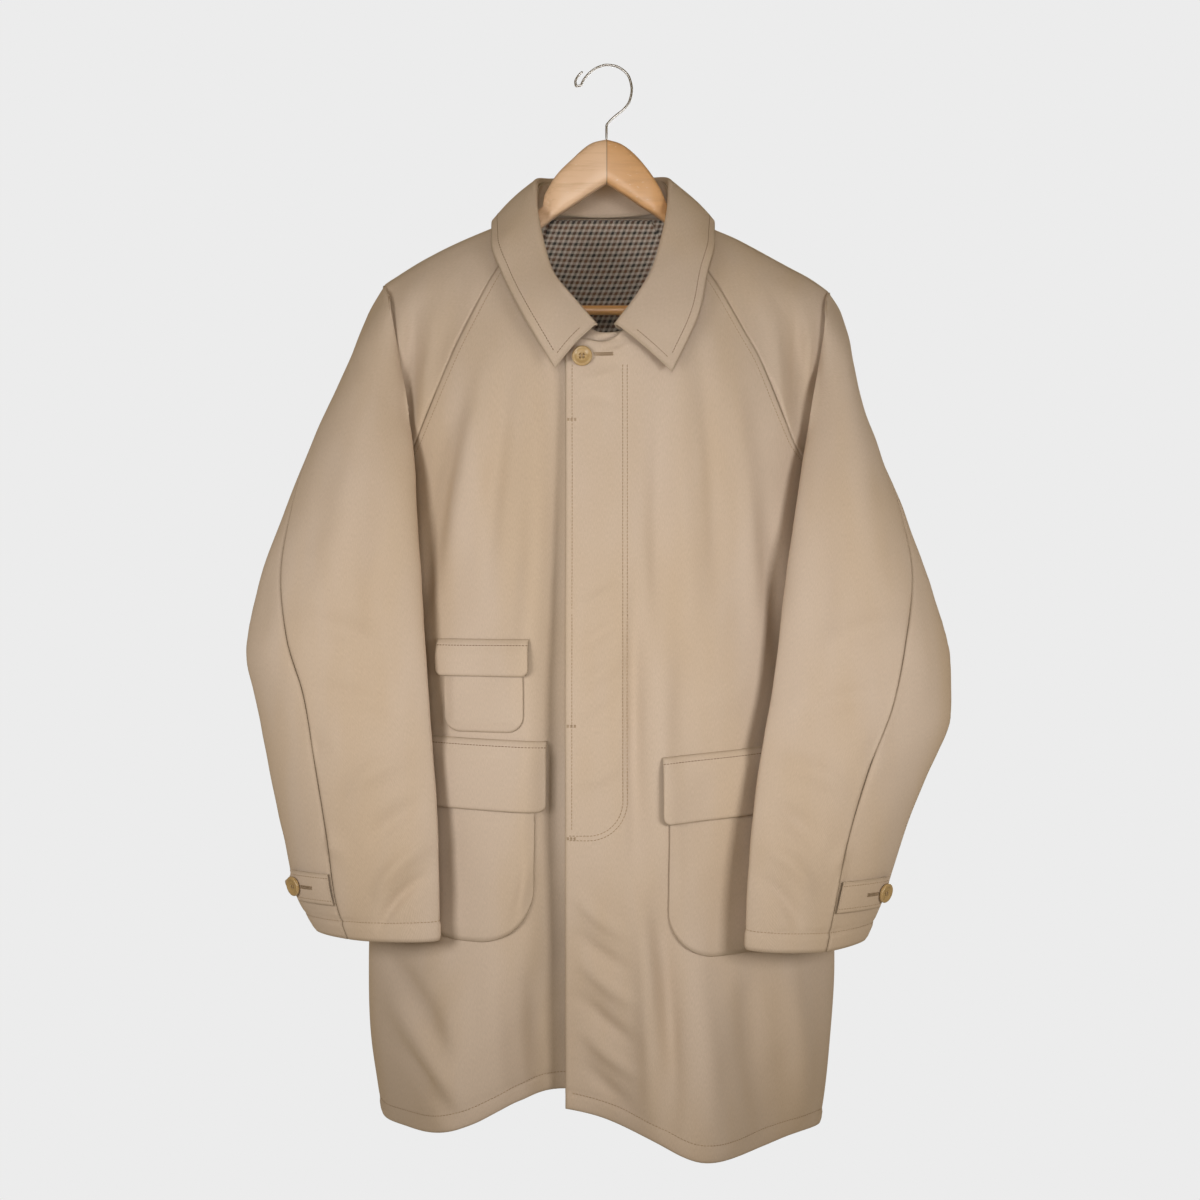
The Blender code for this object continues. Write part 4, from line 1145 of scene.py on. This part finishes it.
def button_shape(place, normal):
    """Four-hole button: a profile turned about its axis, raised rim, dished middle, sunk holes."""
    at = np.concatenate([np.linspace(0, 2, 26), np.linspace(2, 11, 40)[1:]])
    fine = along_rows(BUTTON_PROFILE, at)
    turn = np.linspace(0, 2 * np.pi, 72, endpoint=False)
    a, b = fine[:, :1] * np.cos(turn), fine[:, :1] * np.sin(turn)
    h = np.repeat(fine[:, 1:], len(turn), axis=1)
    above = (np.arange(len(fine)) < 40)[:, None]
    for x in (BUTTON_HOLE, -BUTTON_HOLE):
        for z in (BUTTON_HOLE, -BUTTON_HOLE):
            h = h - above * HOLE_DEPTH * np.exp(-(np.hypot(a - x, b - z) ** 6))
    side = unit(np.cross([0.0, 0.0, 1.0], normal))
    up = np.cross(normal, side)
    points = place + normal * 0.6 + a[..., None] * side + b[..., None] * up + h[..., None] * normal
    sewn = []
    for x in (BUTTON_HOLE, -BUTTON_HOLE):
        ends = [place + normal * 3.5 + x * side + z * up for z in (-HOLE_DEPTH, HOLE_DEPTH)]
        sewn.append((np.array(ends), np.stack([normal, normal])))
    return points.reshape(-1, 3), lofted(len(fine), len(turn)), sewn


class CoatSizes(bpy.types.PropertyGroup):
    """Sizes of the cloth and sewing."""

    cloth: FloatProperty(
        name="Cloth", description="Thickness of the panels", default=CLOTH * MM, min=0.0005, unit="LENGTH"
    )
    patch: FloatProperty(
        name="Patch", description="Thickness of pockets, flaps and tabs", default=PATCH * MM, unit="LENGTH"
    )
    crease: FloatProperty(
        name="Creases", description="Strength of the creases and waves", default=1.0, subtype="FACTOR"
    )
    stitch: FloatProperty(
        name="Stitch length", description="Stitch length against a plain one", default=1.0, subtype="FACTOR"
    )
    thread: FloatProperty(
        name="Thread", description="Thread width against a plain one", default=1.0, subtype="FACTOR"
    )


def colour_property(name, description, *colour):
    """Colour property whose default is given from 0 to 255 as a screen shows it."""
    return FloatVectorProperty(
        name=name, description=description, default=linear(*colour), subtype="COLOR", size=3, min=0.0, max=1.0
    )


class CoatColours(bpy.types.PropertyGroup):
    """Colours of the cloth, lining, sewing, wood, wire and buttons."""

    cloth_lit: colour_property("Cloth, lit tone", "Pinkish beige of the twill", 189, 170, 152)
    # Mixed in by random drifts; a darkened copy of this tone paints the thin shade line along the cloth's
    # edges.
    cloth_gold: colour_property("Cloth, golden tone", "Khaki of the twill at edges", 178, 152, 118)
    thread_brown: colour_property("Brown thread", "Topstitching", 112, 86, 60)
    thread_tan: colour_property("Tan thread", "Quieter sewing", 160, 136, 108)
    lining_ground: colour_property("Lining ground", "Grey of the check", 186, 174, 160)
    lining_brown: colour_property("Lining brown", "Brown of the check", 100, 68, 50)
    lining_black: colour_property("Lining black", "Black of the check", 26, 24, 27)
    # The wood halves: one wood in a painted lit tone and a painted shaded tone.
    wood_half_painted_lit: colour_property("Wood, light half", "Wearer's right half", 224, 187, 152)
    wood_half_painted_shaded: colour_property("Wood, dark half", "Wearer's left half", 211, 162, 112)
    wood_bar: colour_property("Wood, bar", "Orange wood of the trouser bar", 240, 178, 112)
    steel: colour_property("Wire", "Bright wire of the hook", 214, 209, 206)
    horn_light: colour_property("Horn, light", "Honey ground of the buttons", 172, 138, 92)
    horn_dark: colour_property("Horn, dark", "Clouds in the buttons", 70, 48, 30)


def cloths():
    """Gabardine outside and the check inside."""
    return [finish("gabardine", gabardine), finish("gun_club_lining", gun_club)]


def on_panel(panel, x, z):
    """A line of sewing on a front or the back, through x and z."""
    return panel_surface(panel, *densely(x, z))


class COAT_OT_hanger(bpy.types.Operator):
    """Makes the wooden yoke, the trouser bar and the wire hook"""

    bl_idname = "coat.hanger"
    bl_label = "Hanger"

    def execute(self, context):
        wood = [finish("beech", beech)]
        piece("wood_yoke", *yoke(), wood, "wood", "hanger_yoke")
        end = np.linspace(BAR_HALF - BAR_END, BAR_HALF, 8)
        half = BAR_HALF - 2 * BAR_END
        x = np.concatenate([-end[::-1], np.linspace(-half, half, 40), end])
        path = np.stack([x, np.full_like(x, MID_Y), np.full_like(x, BAR_Z)], -1)
        bar = [finish("bar_wood", bar_wood)]
        piece("wood_bar", *tube(path, BAR_RADIUS, sides=32), bar, "wood", "hanger_bar")
        line = along_rows(HOOK, np.linspace(0, len(HOOK) - 1, 260))
        path = np.stack([line[:, 0], 0 * line[:, 0], line[:, 1]], -1)
        steel = [finish("wire_steel", wire_steel)]
        piece("wire_hook", *tube(path, WIRE, sides=20), steel, "wire", "hanger_hook")
        return {"FINISHED"}


class COAT_OT_body(bpy.types.Operator):
    """Makes the fronts, the back and the lining behind the neck, with their sewing"""

    bl_idname = "coat.body"
    bl_label = "Fronts and back"

    def execute(self, context):
        thick = context.scene.coat_sizes.cloth / MM
        at = panel_rows()
        for panel, fine, columns in (("right", 121, 72), ("left", 121, 72), ("back", 161, 112)):
            whole = panel == "back"
            u = np.linspace(0, 1, fine)
            plan = back_plan(u) if whole else front_plan(panel, u)
            x, z = (along_rows(part, at) for part in plan)
            x = to_seam(x, z, at, np.linspace(-1 if whole else 0, 1, fine))
            grid, _ = panel_surface(panel, x, z)
            grid = respaced(grid, columns, SEAM_GAP if whole else 0.0, SEAM_GAP)
            normals = facing(grid, (0, 1 if whole else -1, 0))
            grid = hem_band(sunk_seams(grid, normals, (whole, True)), normals, HEM_HEIGHT)
            name = panel if whole else "front_" + panel
            lines = self.sewing(panel, grid, normals, at, x[-1], z[-1])
            sewing = stitches("sewing_" + name, lines, "tan")
            cloth_piece(name, grid, normals, thick, cloths())
        self.lining(thick)
        return {"FINISHED"}

    def lining(self, thick):
        """The check behind the neck: the back's upper rows, set in by the cloth and a small gap."""
        x, z = back_plan(np.linspace(0.125, 0.875, 121))
        at = np.linspace(0, ARMPIT - 1, 60)
        grid, normals = panel_surface("back", along_rows(x, at), along_rows(z, at))
        grid = respaced(grid - normals * (thick + LINING_GAP), 80)
        grid[:4, :, 2] -= np.linspace(1, 0.2, 4)[:, None]
        normals = facing(grid, (0, 1, 0))
        check = finish("gun_club_lining", gun_club)
        cloth_piece("lining_back", grid, normals, LINING_CLOTH, [check, check], "lining")

    def sewing(self, panel, grid, normals, at, hem_x, hem_z):
        """Hem and raglan lines, and on the left front its placket, bartacks and buttonhole."""
        inside = slice(4, -4) if panel == "back" else slice(2, -3)
        lines = [on_panel(panel, hem_x[inside], hem_z[inside] + HEM_HEIGHT)]
        high = at <= ARMPIT
        if panel == "back":
            lines.append((inset_line(grid, SEAM_STITCH)[high], normals[high, 2]))
        lines.append((inset_line(grid, -SEAM_STITCH)[high], normals[high, -3]))
        if panel != "left":
            return lines
        lines.append(on_panel(panel, *EDGE_LINE))
        turn = np.linspace(0, np.pi / 2, 20)
        for x, radius in PLACKET_LINES:
            low = PLACKET_BEND - radius
            line_x = np.concatenate([[x], x - radius + radius * np.cos(turn), [BARTACK_X[0]]])
            line_z = np.concatenate([[PLACKET_TOP], PLACKET_BEND - radius * np.sin(turn), [low]])
            lines.append(on_panel(panel, line_x, line_z))
        for z in BARTACKS:
            for row in (-1.0, 0.0, 1.0):
                lines.append(on_panel(panel, BARTACK_X, [z + row, z + row]))
        points, up = panel_surface(panel, *np.array(NECK_HOLE))
        return lines + buttonhole(points[0], points[1] - points[0], up[0])


class COAT_OT_sleeves(bpy.types.Operator):
    """Makes the four sleeve halves with the sewing of their cuffs"""

    bl_idname = "coat.sleeves"
    bl_label = "Sleeves"

    def execute(self, context):
        thick = context.scene.coat_sizes.cloth / MM
        for side in ("right", "left"):
            for face, half in ((-1, "_front"), (1, "_back")):
                grid, normals = sleeve_surface(side, face)
                name = "sleeve_" + side + half
                lines = [(inset_line(np.moveaxis(grid, 1, 0), -CUFF_HEIGHT), normals[-6])]
                sewing = stitches("sewing_" + name, lines, "tan")
                cloth = [finish("gabardine", gabardine)] * 2
                cloth_piece(name, grid, normals, thick, cloth)
        return {"FINISHED"}


class COAT_OT_collar(bpy.types.Operator):
    """Makes the collar's fall and stand with the topstitching inside its edge"""

    bl_idname = "coat.collar"
    bl_label = "Collar"

    def execute(self, context):
        fall, stand = collar_surface(samples=181, across=34, bends=15, stand_rows=12)
        for name, grid in (("collar_fall", fall), ("collar_stand", stand)):
            normals = grid_normals(grid)
            if normals[len(grid) // 2, -1, 1] < 0:
                normals = -normals
            sewing = []
            if grid is fall:
                sewing = [stitches("sewing_collar", self.sewing(grid, normals), "brown")]
            cloth = [finish("gabardine", gabardine)] * 2
            cloth_piece(name, grid, normals, COLLAR_CLOTH, cloth)
        return {"FINISHED"}

    def sewing(self, grid, normals):
        """Lines of topstitching inside the edge and both front ends, which meet at the points."""
        whole = row_arcs(grid)[:, -1:]
        share = np.linspace(0, 1, 60)
        inner = at_arcs(grid, (whole - COLLAR_STITCH) * share)
        turned = np.moveaxis(inner, 1, 0)
        lines = []
        for distance, row in ((COLLAR_STITCH, 2), (-COLLAR_STITCH, -3)):
            line = inset_line(turned, distance)[24:]
            lines.append((line, np.repeat(normals[row, -5:-4], len(line), axis=0)))
        edge = inner[:, -1]
        arcs = line_arcs(edge)
        ends = COLLAR_STITCH + 1
        middle = (arcs > ends) & (arcs < arcs[-1] - ends)
        return lines + [(edge[middle], normals[middle, -5])]


class COAT_OT_pockets(bpy.types.Operator):
    """Makes the patch pockets and their flaps"""

    bl_idname = "coat.pockets"
    bl_label = "Pockets and flaps"

    def execute(self, context):
        thick = context.scene.coat_sizes.patch / MM
        for name, (side, x_in, x_out, top_in, top_out, _, _, flap) in PATCHES.items():
            grid, normals = patch_surface(name, *patch_grid(name, columns=56, rows=44))
            if flap:
                line = densely([x_in, x_out], [top_in - FLAP_STITCH, top_out - FLAP_STITCH])
                stitches("sewing_" + name, [patch_surface(name, *line)], "brown")
            cloth_piece(name, grid, normals, thick, cloths())
        return {"FINISHED"}


class COAT_OT_cuffs(bpy.types.Operator):
    """Makes the cuff tabs and the three buttons"""

    bl_idname = "coat.cuffs"
    bl_label = "Cuff tabs and buttons"

    def execute(self, context):
        thick = context.scene.coat_sizes.patch / MM
        for side in ("right", "left"):
            grid, normals, place, normal = tab_grid(side)
            turned = np.moveaxis(grid, 1, 0)
            lines = []
            for distance, row in ((TAB_STITCH, 3), (-TAB_STITCH, -4)):
                lines.append((inset_line(turned, distance)[:-5], normals[row, :-5]))
            line, up = grid[12, 34::-1], normals[12, 34::-1]
            ends = at_lengths(line, line_arcs(line), TAB_HOLE)
            lines += buttonhole(ends[0], ends[1] - ends[0], up[12], TAB_HOLE_LENGTH)
            sewing = stitches("sewing_tab_" + side, lines, "tan")
            cloth_piece("cuff_tab_" + side, grid, normals, thick, cloths())
            self.button("cuff_" + side, place, normal)
        points, normals = panel_surface("left", *np.array(NECK_BUTTON)[:, None])
        self.button("neck", points[0] + normals[0] * 0.2, normals[0])
        return {"FINISHED"}

    def button(self, name, place, normal):
        """One button and its thread, at a place and facing along a normal."""
        points, faces, sewn = button_shape(place, normal)
        piece("horn_button_" + name, points, faces, [finish("horn", horn)], "horn", "button_" + name)
        stitches("sewing_button_" + name, sewn, "tan", pitch=9.0, length=3.6, width=0.8, height=0.7)


class COAT_OT_stage(bpy.types.Operator):
    """Sets the camera, the soft lights, the pale surroundings and the floor"""

    bl_idname = "coat.stage"
    bl_label = "Stage"

    def execute(self, context):
        scene = context.scene
        camera = bpy.data.objects.new("camera", bpy.data.cameras.new("camera"))
        camera.data.lens = LENS
        camera.data.sensor_width = SENSOR
        camera.location = CAMERA
        camera.rotation_euler = (math.pi / 2, 0.0, 0.0)
        scene.collection.objects.link(camera)
        scene.camera = camera
        scene.view_settings.view_transform = "Standard"
        for name, place, aim, size, power, spread in LIGHTS:
            light = bpy.data.objects.new(name, bpy.data.lights.new(name, "AREA"))
            light.data.energy = power
            light.data.size = size
            light.data.spread = math.radians(spread)
            light.location = place
            way = Vector((0.0, 0.0, aim)) - Vector(place)
            light.rotation_euler = way.to_track_quat("-Z", "Y").to_euler()
            scene.collection.objects.link(light)
        self.world(scene)
        self.floor(scene)
        return {"FINISHED"}

    def world(self, scene):
        """Pale surroundings: plain to look at, dimmer as light on the cloth."""
        world = bpy.data.worlds.new("studio")
        world.use_nodes = True
        tree = world.node_tree
        seen = tree.nodes["Background"]
        seen.inputs["Color"].default_value = (*linear(236, 236, 236), 1.0)
        dim = tree.nodes.new("ShaderNodeBackground")
        dim.inputs["Color"].default_value = SKY_COLOUR
        dim.inputs["Strength"].default_value = SKY_STRENGTH
        path = tree.nodes.new("ShaderNodeLightPath")
        mixed = tree.nodes.new("ShaderNodeMixShader")
        tree.links.new(path.outputs["Is Camera Ray"], mixed.inputs[0])
        tree.links.new(dim.outputs[0], mixed.inputs[1])
        tree.links.new(seen.outputs[0], mixed.inputs[2])
        tree.links.new(mixed.outputs[0], tree.nodes["World Output"].inputs["Surface"])
        scene.world = world

    def floor(self, scene):
        """Round pale floor well below the hem: one face round a ring of points."""
        turn = np.linspace(0, 2 * np.pi, FLOOR_SIDES, endpoint=False)
        ring = np.stack([np.cos(turn), np.sin(turn) + 0.01, 0 * turn + FLOOR_Z], -1)
        mesh = bpy.data.meshes.new("floor")
        mesh.from_pydata(ring.tolist(), [], [list(range(FLOOR_SIDES))])
        made = Finish("floor", 0.8)
        tone = made.noise(made.place(), 3.0)
        pale = made.done(made.mix(tone, (0.74, 0.74, 0.74), (0.78, 0.78, 0.78)))
        shader = pale.node_tree.nodes["Principled BSDF"]
        shader.inputs["Emission Color"].default_value = FLOOR_GLOW
        shader.inputs["Emission Strength"].default_value = GLOW_STRENGTH
        mesh.materials.append(pale)
        floor = bpy.data.objects.new("floor", mesh)
        scene.collection.objects.link(floor)


STEPS = (
    COAT_OT_stage,
    COAT_OT_hanger,
    COAT_OT_body,
    COAT_OT_sleeves,
    COAT_OT_collar,
    COAT_OT_pockets,
    COAT_OT_cuffs,
)


class COAT_PT_panel(bpy.types.Panel):
    """Lists the coat's sizes, colours and pieces"""

    bl_idname = "COAT_PT_panel"
    bl_label = "Coat"
    bl_space_type = "VIEW_3D"
    bl_region_type = "UI"
    bl_category = "Coat"

    def draw(self, context):
        for group in (context.scene.coat_sizes, context.scene.coat_colours):
            for key in group.bl_rna.properties.keys():
                if key not in ("rna_type", "name"):
                    self.layout.prop(group, key)
        for step in STEPS:
            self.layout.operator(step.bl_idname)


CLASSES = (CoatSizes, CoatColours, *STEPS, COAT_PT_panel)


def register():
    for kind in CLASSES:
        bpy.utils.register_class(kind)
    bpy.types.Scene.coat_sizes = PointerProperty(type=CoatSizes)
    bpy.types.Scene.coat_colours = PointerProperty(type=CoatColours)


def unregister():
    del bpy.types.Scene.coat_colours
    del bpy.types.Scene.coat_sizes
    for kind in reversed(CLASSES):
        bpy.utils.unregister_class(kind)


def main():
    register()
    for step in STEPS:
        family, _, name = step.bl_idname.partition(".")
        getattr(getattr(bpy.ops, family), name)()
    bpy.context.view_layer.update()


if __name__ == "__main__":
    main()
